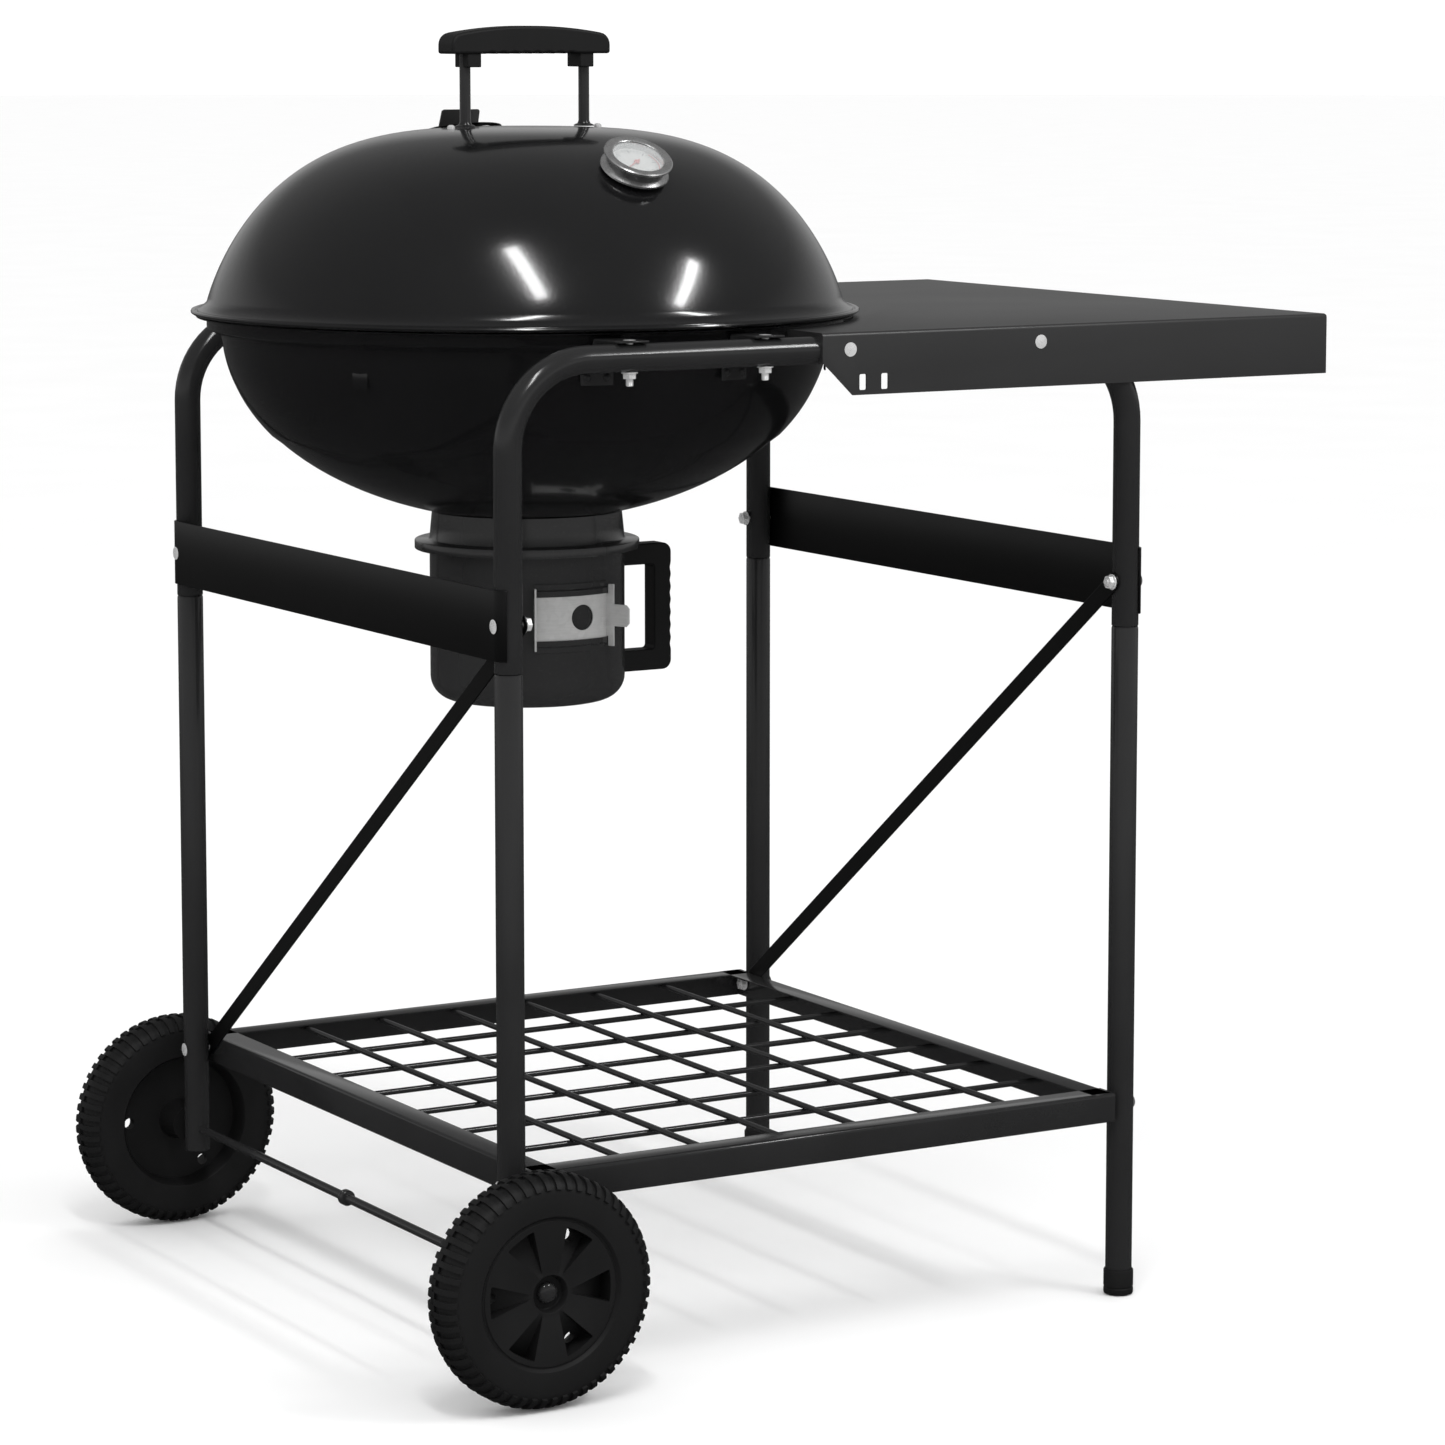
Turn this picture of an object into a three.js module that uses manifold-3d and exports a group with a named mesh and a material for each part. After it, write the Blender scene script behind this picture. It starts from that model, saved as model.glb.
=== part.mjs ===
// Kettle charcoal grill on a wheeled tube cart with a side table.
// Millimetres, +Z up. The origin is on the floor under the middle of the grill,
// +X points at the side table and -Y is the front, where the thermometer is.
import * as THREE from 'three';
import { mergeVertices } from 'three/addons/utils/BufferGeometryUtils.js';
import Module from 'manifold-3d';

const wasm = await Module();
wasm.setup();

const { PI, cos, sin, sqrt, atan2, hypot } = Math;
const GAP = 0.3; // clearance between pieces that touch

// ---- driving dimensions -------------------------------------------------------------

// Cart tubes and legs
const LEFT_X = -332; // axis of the two left legs, which carry the wheels
const RIGHT_X = 239; // axis of the two right legs, which stand on feet
const LEG_Y = 291; // axis of the back legs; the front legs are at -LEG_Y
const TUBE_R = 11;
const TUBE_BORE = 9.8;
const TOP_TUBE_Z = 796; // axis of the level run that carries kettle and table
const BEND_R = 68;
const JOINT_Z = 559.6; // where upper and lower tubes meet
const SPIGOT_R = 9.4; // swaged end of the lower tube, inside the upper one
const SPIGOT_BORE = 8.2;
const SPIGOT_TOP = 612;
const LEFT_LEG_BOTTOM = 72;
const RIGHT_LEG_BOTTOM = 3.3;
const FOOT = { r: 12.4, height: 21, base: 3 };

// Cross plates, braces and their bolts
const SHEET = 1.5; // thickness of plates, braces, rails and table sheet
const PLATE = { bottom: 569.7, top: 624, wrap: 57 * PI / 180 };
const PLATE_BOLT_Z = 596.2;
const SHELF_BOLT_Z = 161.5;
const BRACE_WIDTH = 15;
const BOLT_R = 3;
const HOLE_R = 3.4;

// Shelf
const SHELF = { side: 13.1, end: 303, top: 173.3, height: 24, flange: 22 };
const WIRE_R = 2.5;
const SHELF_WIRES_X = { count: 6, pitch: 79 }; // wires along X, spaced along Y
const SHELF_WIRES_Y = { count: 6, pitch: 72.5 }; // wires along Y, spaced along X

// Side table
const TABLE = { left: -60.5, right: 432.9, half: 304, top: 809.5, skirt: 49.5 };
const TABLE_CHAMFER = { run: 28, edge: 23.5 }; // cut corner of the front and back skirts
const TABLE_CUT_R = 269; // round cut-out that the bowl sits in
const TABLE_SLOTS = { xs: [-23.3, -3.1], width: 6.5, bottom: 763.8, top: 776.3 };
const TABLE_BOLT_XS = [-35, 144.8];

// Wheels and axle
const WHEEL = { r: 91.5, halfWidth: 19.5, offset: 45.5, bore: 4.3, disc: 57.4 };
const AXLE = { z: 91.5, r: 3.75, collar: 6.5, collarY: -3, cap: 9 };

// Kettle
const KETTLE_X = -159;
const BOWL = { r: 249, depth: 158.2, z: 801, wall: 1.2, mouth: 70 };
const STEP_Z = 713; // pressed step in the bowl, which carries the charcoal grate
const STEP_OUT = 1.6;
const RIM = { band: 261, bandLow: 802, bandTop: 810.4, lip: 270, lipZ: 812.8 };
const LID = { r: 265.1, z: 801, h: 163.8, p: 0.597, q: 1.353, lip: 273.9, lipZ: 815.6 };
const LID_FOOT_Z = 822.5;
const BRACKET_XS = [-226, -105];
const BRACKET = { width: 26, low: 771, strap: 782, high: 794, reach: 8 };
const GRATE = { z: 786, wire: 3, bars: 13, bar: 2 };
const COAL_GRATE = { z: 712, wire: 3, bars: 7, bar: 3 };

// Ash pot below the bowl
const COLLAR = { top: 651.2, rTop: 78.4, rLow: 80.7, flange: 92.8, z: 626.5, lip: 7.5 };
const POT = { r: 80.5, top: 623, bottom: 493.5, corner: 20, rim: 88 };
const DAMPER = { z: 568.6, half: 24 * PI / 180, height: 40.8, r: 81.1, hole: 10.5, endHeight: 51 };
const AIR_HOLES = { pot: -11, damper: 5 }; // degrees right of the front: shut at rest
const GUIDE = { outer: 83.5, half: 24.6 * PI / 180, height: 7.6, lip: 2.6 };
const POT_HANDLE = { reach: 132.4, low: 509.5, high: 616.5, depth: 18, bar: 16.5 };

// Lid furniture
const HANDLE = { length: 146, depth: 27, low: 1024, ends: 1039.5, crown: 1046.6 };
const POSTS = { dx: 55, r: 4.5 };
const SOCKET = { dx: 52, x: 12.6, y: 22.6, low: 1013.2 };
const GAUGE = { r: 180, ring: 28, neck: 24, height: 15.5, recess: 21, stem: 3 };
const VENT = { r: 108, disc: 32, hole: 7, pitch: 18, holes: 4 };

// ---- materials ----------------------------------------------------------------------

const finish = (color, roughness, metalness = 0) =>
  new THREE.MeshStandardMaterial({ color, roughness, metalness });
const ENAMEL = finish('#17181a', 0.14);
const PAINT = finish('#2a2b2c', 0.42);
const TABLE_PAINT = finish('#333435', 0.55);
const PLASTIC = finish('#161617', 0.55);
const ZINC = finish('#b4b5b4', 0.38, 0.9);
const STEEL = finish('#c9cac9', 0.28, 1);
const GRATE_WIRE = finish('#b9bab8', 0.3, 1);
const GLASS = finish('#dfe4e6', 0.05);
const RED = finish('#b0201c', 0.4);

// ---- solids -------------------------------------------------------------------------

// A closed three.js geometry with shared vertices, no empty triangles, faces outwards.
function closed(source) {
  source.deleteAttribute('normal');
  source.deleteAttribute('uv');
  const merged = mergeVertices(source, 1e-4);
  const at = (i) => new THREE.Vector3().fromBufferAttribute(merged.attributes.position, i);
  const index = [];
  let volume = 0;
  for (let i = 0; i < merged.index.count; i += 3) {
    const [a, b, c] = [0, 1, 2].map((k) => merged.index.getX(i + k));
    if (a === b || b === c || c === a) continue;
    index.push([a, b, c]);
    volume += at(a).dot(at(b).cross(at(c)));
  }
  merged.setIndex(index.flatMap(([a, b, c]) => (volume > 0 ? [a, b, c] : [a, c, b])));
  return merged;
}

function solid(source) {
  const geometry = closed(source);
  return new wasm.Manifold(new wasm.Mesh({
    numProp: 3,
    vertProperties: new Float32Array(geometry.attributes.position.array),
    triVerts: new Uint32Array(geometry.index.array),
  }));
}

function geometryOf(manifold) {
  const mesh = manifold.getMesh();
  const geometry = new THREE.BufferGeometry();
  geometry.setAttribute('position', new THREE.BufferAttribute(mesh.vertProperties, 3));
  geometry.setIndex(new THREE.BufferAttribute(mesh.triVerts, 1));
  return geometry;
}

const union = (parts) => parts.reduce((whole, part) => whole.add(part));
const cut = (body, tools) => tools.reduce((rest, tool) => rest.subtract(tool), body);

// Box from its lowest to its highest corner.
function box([x0, y0, z0], [x1, y1, z1]) {
  const geometry = new THREE.BoxGeometry(x1 - x0, y1 - y0, z1 - z0);
  return solid(geometry.translate((x0 + x1) / 2, (y0 + y1) / 2, (z0 + z1) / 2));
}

// Round rod between two points.
function rod(from, to, r, sides = 12) {
  const a = new THREE.Vector3(...from);
  const b = new THREE.Vector3(...to);
  const along = b.clone().sub(a);
  const geometry = new THREE.CylinderGeometry(r, r, along.length(), sides);
  const turn = new THREE.Quaternion().setFromUnitVectors(
    new THREE.Vector3(0, 1, 0), along.clone().normalize());
  geometry.applyQuaternion(turn);
  const middle = a.add(b).multiplyScalar(0.5);
  return solid(geometry.translate(middle.x, middle.y, middle.z));
}

// Solid of revolution about Z from [radius, z] points; a profile off the axis closes itself.
function turned(profile, segments = 32) {
  const points = profile.map(([r, z]) => new THREE.Vector2(r, z));
  if (profile[0][0] > 0) points.push(points[0].clone());
  return solid(new THREE.LatheGeometry(points, segments).rotateX(PI / 2));
}

// Flat outline in X and Y, extruded along Z from a base height.
function extruded(outline, base, height, holes = [], curveSegments = 12) {
  const shape = outline instanceof THREE.Shape ? outline : new THREE.Shape(
    outline.map(([x, y]) => new THREE.Vector2(x, y)));
  shape.holes.push(...holes);
  const geometry = new THREE.ExtrudeGeometry(shape, {
    depth: height, bevelEnabled: false, curveSegments,
  });
  return solid(geometry.translate(0, 0, base));
}

// The same outline stood upright in X and Z, running along +Y from a base.
function upright(outline, base, depth, holes = [], curveSegments = 12) {
  const shape = outline instanceof THREE.Shape ? outline : new THREE.Shape(
    outline.map(([x, z]) => new THREE.Vector2(x, z)));
  shape.holes.push(...holes);
  const geometry = new THREE.ExtrudeGeometry(shape, {
    depth, bevelEnabled: false, curveSegments,
  });
  return solid(geometry.rotateX(PI / 2).translate(0, base + depth, 0));
}

const roundHole = (x, y, r) => new THREE.Path().absarc(x, y, r, 0, 2 * PI, true);

function arc(cx, cy, r, from, to, steps) {
  return Array.from({ length: steps + 1 }, (_, i) => {
    const angle = from + (to - from) * i / steps;
    return [cx + r * cos(angle), cy + r * sin(angle)];
  });
}

// Ring sector about Z between two radii, centred on the front (-Y).
function frontSector(r0, r1, half, base, height, steps = 6) {
  const outline = [
    ...arc(0, 0, r1, -PI / 2 - half, -PI / 2 + half, steps),
    ...arc(0, 0, r0, -PI / 2 + half, -PI / 2 - half, steps),
  ];
  return extruded(outline, base, height);
}

const grill = new THREE.Group();

function add(name, body, material, parent = grill) {
  const mesh = new THREE.Mesh(geometryOf(body), material);
  mesh.name = name;
  parent.add(mesh);
  return mesh;
}

// ---- tubes, legs and feet -----------------------------------------------------------

// A path in X and Z that is stepped only at the stations it is given.
class SteppedPath extends THREE.Curve {
  constructor(stations) {
    super();
    this.stations = stations;
  }

  station(u) {
    return this.stations[Math.round(u * (this.stations.length - 1))];
  }

  getPointAt(u) {
    const { x, z } = this.station(u);
    return new THREE.Vector3(x, 0, z);
  }

  getTangentAt(u) {
    const { angle } = this.station(u);
    return new THREE.Vector3(cos(angle), 0, sin(angle));
  }
}

function archPath() {
  const bendSteps = 5;
  const stations = [{ x: LEFT_X, z: JOINT_Z + GAP / 2, angle: PI / 2 }];
  for (let i = 0; i <= bendSteps; i += 1) {
    const turn = PI / 2 * i / bendSteps;
    stations.push({
      x: LEFT_X + BEND_R * (1 - cos(turn)),
      z: TOP_TUBE_Z - BEND_R * (1 - sin(turn)),
      angle: PI / 2 - turn,
    });
  }
  const middle = (LEFT_X + RIGHT_X) / 2;
  const mirrored = stations.map(({ x, z, angle }) => ({ x: 2 * middle - x, z, angle: -angle }));
  return new SteppedPath([...stations, ...mirrored.reverse()]);
}

function archTube(side) {
  const section = new THREE.Shape().absarc(0, 0, TUBE_R, 0, 2 * PI, false);
  section.holes.push(roundHole(0, 0, TUBE_BORE));
  const path = archPath();
  const geometry = new THREE.ExtrudeGeometry(section, {
    steps: path.stations.length - 1, extrudePath: path, curveSegments: 5,
  });
  const y = side * LEG_Y;
  const tube = solid(geometry.translate(0, y, 0));
  const crossHoles = [LEFT_X, RIGHT_X].map((x) =>
    rod([x - 20, y, PLATE_BOLT_Z], [x + 20, y, PLATE_BOLT_Z], HOLE_R, 8));
  const tableHoles = TABLE_BOLT_XS.map((x) =>
    rod([x, y - 20, TOP_TUBE_Z], [x, y + 20, TOP_TUBE_Z], HOLE_R, 8));
  const bracketHoles = BRACKET_XS.map((x) =>
    rod([x, y, TOP_TUBE_Z - 20], [x, y, TOP_TUBE_Z + 20], HOLE_R, 8));
  return cut(tube, [...crossHoles, ...tableHoles, ...bracketHoles]);
}

function lowerLeg(x, y, bottom) {
  const profile = [
    [TUBE_BORE, bottom], [TUBE_R, bottom], [TUBE_R, JOINT_Z - GAP / 2],
    [SPIGOT_R, JOINT_Z - GAP / 2], [SPIGOT_R, SPIGOT_TOP],
    [SPIGOT_BORE, SPIGOT_TOP], [SPIGOT_BORE, JOINT_Z - 8], [TUBE_BORE, JOINT_Z - 12],
  ];
  const leg = turned(profile, 10).translate([x, y, 0]);
  const holes = [PLATE_BOLT_Z, SHELF_BOLT_Z].map((z) =>
    rod([x - 20, y, z], [x + 20, y, z], HOLE_R, 8));
  if (x === LEFT_X) {
    holes.push(rod([x, y - 20, AXLE.z], [x, y + 20, AXLE.z], AXLE.r + GAP, 12));
  }
  return cut(leg, holes);
}

function footCap(x, y) {
  const bore = TUBE_R + GAP;
  const profile = [
    [0, 0], [FOOT.r - 1, 0], [FOOT.r, 1], [FOOT.r, FOOT.height],
    [bore, FOOT.height], [bore, FOOT.base], [0, FOOT.base],
  ];
  return turned(profile, 20).translate([x, y, 0]);
}

const SIDES = [['front', -1], ['back', 1]];
const CORNERS = SIDES.flatMap(([end, sy]) => [
  [`${end}_left`, LEFT_X, sy * LEG_Y, -1],
  [`${end}_right`, RIGHT_X, sy * LEG_Y, 1],
]);

for (const [end, sy] of SIDES) add(`${end}_arch_tube`, archTube(sy), PAINT);
for (const [corner, x, y] of CORNERS) {
  const bottom = x === LEFT_X ? LEFT_LEG_BOTTOM : RIGHT_LEG_BOTTOM;
  add(`${corner}_leg`, lowerLeg(x, y, bottom), PAINT);
  if (x === RIGHT_X) add(`${corner}_foot`, footCap(x, y), PLASTIC);
}

// ---- cross plates, braces and bolts -------------------------------------------------

// Plate outside a pair of legs, its ends curled round them. out is -1 left, +1 right.
function crossPlate(x, out) {
  const r0 = TUBE_R + GAP;
  const r1 = r0 + SHEET;
  const half = [
    ...arc(0, LEG_Y, r1, 0, PLATE.wrap, 5),
    ...arc(0, LEG_Y, r0, PLATE.wrap, 0, 5),
  ];
  const other = half.map(([px, py]) => [px, -py]);
  const outline = [...half, ...other.reverse()];
  const plate = extruded(outline, PLATE.bottom, PLATE.top - PLATE.bottom);
  const placed = out > 0 ? plate : plate.mirror([1, 0, 0]);
  const holes = [-LEG_Y, LEG_Y].map((y) =>
    rod([out * 5, y, PLATE_BOLT_Z], [out * 20, y, PLATE_BOLT_Z], HOLE_R, 8));
  return cut(placed, holes).translate([x, 0, 0]);
}

// Flat bar inside a pair of legs, from the front plate bolt to the back shelf bolt.
function brace(x, inward) {
  const run = hypot(2 * LEG_Y, PLATE_BOLT_Z - SHELF_BOLT_Z);
  const tilt = atan2(SHELF_BOLT_Z - PLATE_BOLT_Z, 2 * LEG_Y);
  const half = BRACE_WIDTH / 2;
  const outline = [
    ...arc(0, 0, half, PI / 2, 3 * PI / 2, 6),
    ...arc(run, 0, half, -PI / 2, PI / 2, 6),
  ];
  const holes = [roundHole(0, 0, HOLE_R), roundHole(run, 0, HOLE_R)];
  const bar = extruded(outline, 0, SHEET, holes, 4);
  const near = x + inward * (TUBE_R + GAP) + (inward > 0 ? 0 : -SHEET);
  const matrix = new THREE.Matrix4().makeTranslation(near, -LEG_Y, PLATE_BOLT_Z).multiply(
    new THREE.Matrix4().makeBasis(
      new THREE.Vector3(0, cos(tilt), sin(tilt)),
      new THREE.Vector3(0, -sin(tilt), cos(tilt)),
      new THREE.Vector3(1, 0, 0),
    ));
  return bar.transform(matrix.toArray());
}

// Bolt along +Z with a domed head below z = 0 and a nut on its far end.
function bolt(grip, tip, headR = 5.6) {
  const shank = [
    [0, -3.6], [headR * 0.7, -2.8], [headR, 0], [BOLT_R, 0], [BOLT_R, tip], [0, tip],
  ];
  const nut = solid(new THREE.CylinderGeometry(5.6, 5.6, 5, 6).rotateX(PI / 2)
    .translate(0, 0, grip + 2.5));
  return turned(shank, 8).add(nut);
}

function placeBolt(name, body, position, direction) {
  const mesh = add(name, body, STEEL);
  mesh.position.set(...position);
  mesh.quaternion.setFromUnitVectors(new THREE.Vector3(0, 0, 1), new THREE.Vector3(...direction));
}

for (const [side, x, out] of [['left', LEFT_X, -1], ['right', RIGHT_X, 1]]) {
  add(`${side}_cross_plate`, crossPlate(x, out), PAINT);
  add(`${side}_brace`, brace(x, -out), PAINT);
}
for (const [corner, x, y, out] of CORNERS) {
  const plateFace = TUBE_R + SHEET + 2 * GAP;
  placeBolt(`${corner}_plate_bolt`, bolt(plateFace * 2, plateFace * 2 + 6.5),
    [x + out * plateFace, y, PLATE_BOLT_Z], [-out, 0, 0]);
  const legFace = TUBE_R + GAP;
  const shelfInner = SHELF.side + SHEET + GAP;
  placeBolt(`${corner}_shelf_bolt`, bolt(legFace + shelfInner, legFace + shelfInner + 6.5),
    [x + out * legFace, y, SHELF_BOLT_Z], [-out, 0, 0]);
}

// ---- shelf --------------------------------------------------------------------------

const SHELF_X0 = LEFT_X + SHELF.side;
const SHELF_X1 = RIGHT_X - SHELF.side;
const SHELF_LOW = SHELF.top - SHELF.height;

// Angle rail along X: a vertical face outside and a flange on top.
function endRail(sy) {
  const [y0, y1] = [SHELF.end - SHEET, SHELF.end];
  const wall = box([SHELF_X0, y0, SHELF_LOW], [SHELF_X1, y1, SHELF.top]);
  const flange = box([SHELF_X0, SHELF.end - SHELF.flange, SHELF.top - SHEET],
    [SHELF_X1, y1, SHELF.top]);
  const rail = wall.add(flange);
  return sy > 0 ? rail : rail.mirror([0, 1, 0]);
}

// Angle rail along Y between the end rails, drilled for the leg bolts.
function sideRail(x, inward) {
  const wallEnd = SHELF.end - SHEET - GAP;
  const flangeEnd = SHELF.end - SHELF.flange - GAP;
  const low = SHELF.top - SHEET - GAP;
  const wall = box([0, -wallEnd, SHELF_LOW], [SHEET, wallEnd, low]);
  const flange = box([0, -flangeEnd, low - 1], [SHELF.flange, flangeEnd, SHELF.top]);
  const hollow = box([SHEET, -wallEnd, low - 2], [SHELF.flange + 1, wallEnd, SHELF.top - SHEET]);
  const holes = [-LEG_Y, LEG_Y].map((y) =>
    rod([-5, y, SHELF_BOLT_Z], [10, y, SHELF_BOLT_Z], HOLE_R, 8));
  const rail = cut(wall.add(flange), [hollow, ...holes]);
  return (inward > 0 ? rail : rail.mirror([1, 0, 0])).translate([x, 0, 0]);
}

function shelfWires() {
  const highZ = SHELF.top - SHEET - GAP - WIRE_R;
  const lowZ = highZ - 2 * WIRE_R + 0.4; // welded where they cross
  const endX = [SHELF_X0 + SHEET + GAP, SHELF_X1 - SHEET - GAP];
  const endY = SHELF.end - SHEET - GAP;
  const middle = (SHELF_X0 + SHELF_X1) / 2;
  const wires = [];
  for (let i = 0; i < SHELF_WIRES_X.count; i += 1) {
    const y = (i - (SHELF_WIRES_X.count - 1) / 2) * SHELF_WIRES_X.pitch;
    wires.push(rod([endX[0], y, lowZ], [endX[1], y, lowZ], WIRE_R, 6));
  }
  for (let i = 0; i < SHELF_WIRES_Y.count; i += 1) {
    const x = middle + (i - (SHELF_WIRES_Y.count - 1) / 2) * SHELF_WIRES_Y.pitch;
    wires.push(rod([x, -endY, highZ], [x, endY, highZ], WIRE_R, 6));
  }
  return union(wires);
}

for (const [end, sy] of SIDES) add(`shelf_${end}_rail`, endRail(sy), PAINT);
add('shelf_left_rail', sideRail(SHELF_X0, 1), PAINT);
add('shelf_right_rail', sideRail(SHELF_X1, -1), PAINT);
add('shelf_wire_mesh', shelfWires(), PAINT);

// ---- side table ---------------------------------------------------------------------

function sideTable() {
  const { left, right, half, top, skirt } = TABLE;
  const low = top - skirt;
  const cutY = sqrt(TABLE_CUT_R ** 2 - (left - KETTLE_X) ** 2);
  const cutAngle = atan2(cutY, left - KETTLE_X);
  const outline = [
    [left, -half], [right, -half], [right, half], [left, half],
    ...arc(KETTLE_X, 0, TABLE_CUT_R, cutAngle, -cutAngle, 22),
  ];
  const sheet = extruded(outline, top - SHEET, SHEET);
  const side = [
    [left, top], [left, top - TABLE_CHAMFER.edge], [left + TABLE_CHAMFER.run, low],
    [right, low], [right, top],
  ];
  const slots = TABLE_SLOTS.xs.map((x) => box(
    [x - TABLE_SLOTS.width / 2, -half - 1, TABLE_SLOTS.bottom],
    [x + TABLE_SLOTS.width / 2, -half + SHEET + 1, TABLE_SLOTS.top]));
  const bolts = TABLE_BOLT_XS.map((x) => roundHole(x, TOP_TUBE_Z, HOLE_R));
  const front = cut(upright(side, -half, SHEET, bolts, 4), slots);
  const back = upright(side, half - SHEET, SHEET, bolts, 4);
  const end = box([right - SHEET, -half, low], [right, half, top]);
  return union([sheet, front, back, end]);
}

add('side_table', sideTable(), TABLE_PAINT);
for (const [end, sy] of SIDES) {
  TABLE_BOLT_XS.forEach((x, i) => {
    const grip = TABLE.half + GAP - (LEG_Y - TUBE_R - GAP);
    placeBolt(`${end}_table_bolt_${i + 1}`, bolt(grip, grip + 6.5),
      [x, sy * (TABLE.half + GAP), TOP_TUBE_Z], [0, -sy, 0]);
  });
}

// ---- wheels and axle ----------------------------------------------------------------

// Wheel about Z with its outer face at -Z; turned upright when it is placed.
function wheel() {
  const w = WHEEL.halfWidth;
  const segments = 24;
  const rim = WHEEL.r / cos(PI / segments);
  const profile = [
    [WHEEL.bore, -10], [14, -10], [16, -17], [WHEEL.disc, -17], [WHEEL.disc + 2, -w],
    [78, -w], [rim, -8], [rim, 8], [78, w],
    [WHEEL.disc, w], [WHEEL.disc - 4, 4], [18, 4], [16, w + 10], [WHEEL.bore, w + 10],
  ];
  const body = turned(profile, segments).rotate([0, 0, 180 / segments]);
  const wedge = [[24, -3], [52, -12], [52, 12], [24, 3]];
  const pockets = [];
  for (let i = 0; i < 6; i += 1) {
    const pocket = extruded(wedge, -20, 14).rotate([0, 0, 60 * i]);
    pockets.push(pocket);
    if (i % 2) pockets.push(rod([47, 0, -20], [47, 0, 10], 4, 6).rotate([0, 0, 60 * i]));
  }
  return cut(body, pockets);
}

for (const [end, sy] of SIDES) {
  const mesh = add(`${end}_wheel`, wheel(), PLASTIC);
  mesh.position.set(LEFT_X, sy * (LEG_Y + WHEEL.offset), AXLE.z);
  mesh.rotation.x = sy < 0 ? -PI / 2 : PI / 2;
}

function axle() {
  const end = LEG_Y + WHEEL.offset + 10 + GAP; // face of the hub recess
  const half = [[AXLE.r, end], [AXLE.cap, end], [AXLE.cap, end + 2.5],
    [AXLE.cap * 0.62, end + 4.6], [0, end + 5.2]];
  const c = AXLE.collarY;
  const profile = [
    ...half.map(([r, y]) => [r, -y]).reverse(),
    [AXLE.r, c - 4], [AXLE.collar, c - 4], [AXLE.collar, c + 4], [AXLE.r, c + 4],
    ...half,
  ];
  return turned(profile, 12).rotate([-90, 0, 0]).translate([LEFT_X, 0, AXLE.z]);
}

add('axle', axle(), PAINT);

// ---- bowl, its hangers and grates ---------------------------------------------------

const kettle = new THREE.Group();
kettle.position.x = KETTLE_X;
grill.add(kettle);

// Outside radius of the bowl's wall at a height below the rim band.
function bowlRadius(z) {
  const bulge = z > STEP_Z ? STEP_OUT * Math.max(0, 1 - (z - STEP_Z) / 40) : 0;
  return BOWL.r * sqrt(1 - ((BOWL.z - z) / BOWL.depth) ** 2) + bulge;
}

function bowl() {
  const t = BOWL.wall;
  const mouthZ = BOWL.z - BOWL.depth * sqrt(1 - (BOWL.mouth / BOWL.r) ** 2);
  const lowZs = [mouthZ, 657, 672, 690, STEP_Z - 4];
  const highZs = [STEP_Z + 1, 728, 750, 774, 795];
  const wall = [...lowZs, ...highZs].map((z) => [bowlRadius(z), z]);
  const outer = [
    ...wall, [RIM.band - 4, RIM.bandLow - 3], [RIM.band, RIM.bandLow],
    [RIM.band, RIM.bandTop], [RIM.lip, RIM.lipZ - t],
  ];
  const inner = [
    [RIM.lip, RIM.lipZ], [RIM.band - t, RIM.bandTop + 1], [RIM.band - t, RIM.bandLow + 1],
    ...wall.slice(1).reverse().map(([r, z]) => [r - t, z + t * 0.4]),
    [BOWL.mouth, mouthZ + t * 1.2],
  ];
  return turned([...outer, ...inner], 32);
}

// Three welded tabs carry the cooking grate.
function grateTabs() {
  const z = GRATE.z - GRATE.wire - GAP;
  const r = bowlRadius(z);
  return [90, 210, 330].map((degrees) =>
    box([r - 20, -7, z - 3], [r - 0.4, 7, z]).rotate([0, 0, degrees]));
}

add('kettle_bowl', union([bowl(), ...grateTabs()]), ENAMEL, kettle);

// Wire ring with straight bars across it.
function grate({ z, wire, bars, bar }, ringR, handles) {
  const ring = solid(new THREE.TorusGeometry(ringR, wire, 5, 32).translate(0, 0, z));
  const pitch = 2 * ringR / (bars + 1);
  const parts = [ring];
  for (let i = 1; i <= bars; i += 1) {
    const x = -ringR + i * pitch;
    const half = sqrt(ringR ** 2 - x ** 2);
    parts.push(rod([x, -half, z], [x, half, z], bar, 4));
  }
  const side = handles ? ringR * 0.35 : 0;
  parts.push(rod([-sqrt(ringR ** 2 - side ** 2), side, z - 2.6],
    [sqrt(ringR ** 2 - side ** 2), side, z - 2.6], bar, 6));
  if (handles) {
    parts.push(rod([-sqrt(ringR ** 2 - side ** 2), -side, z - 2.6],
      [sqrt(ringR ** 2 - side ** 2), -side, z - 2.6], bar, 6));
  }
  return union(parts);
}

const grateR = bowlRadius(GRATE.z) - BOWL.wall - GRATE.wire - 5;
const coalR = bowlRadius(COAL_GRATE.z - COAL_GRATE.wire) - BOWL.wall - COAL_GRATE.wire - 1.2;
add('cooking_grate', grate(GRATE, grateR, true), GRATE_WIRE, kettle);
add('charcoal_grate', grate(COAL_GRATE, coalR, false), GRATE_WIRE, kettle);

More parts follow.
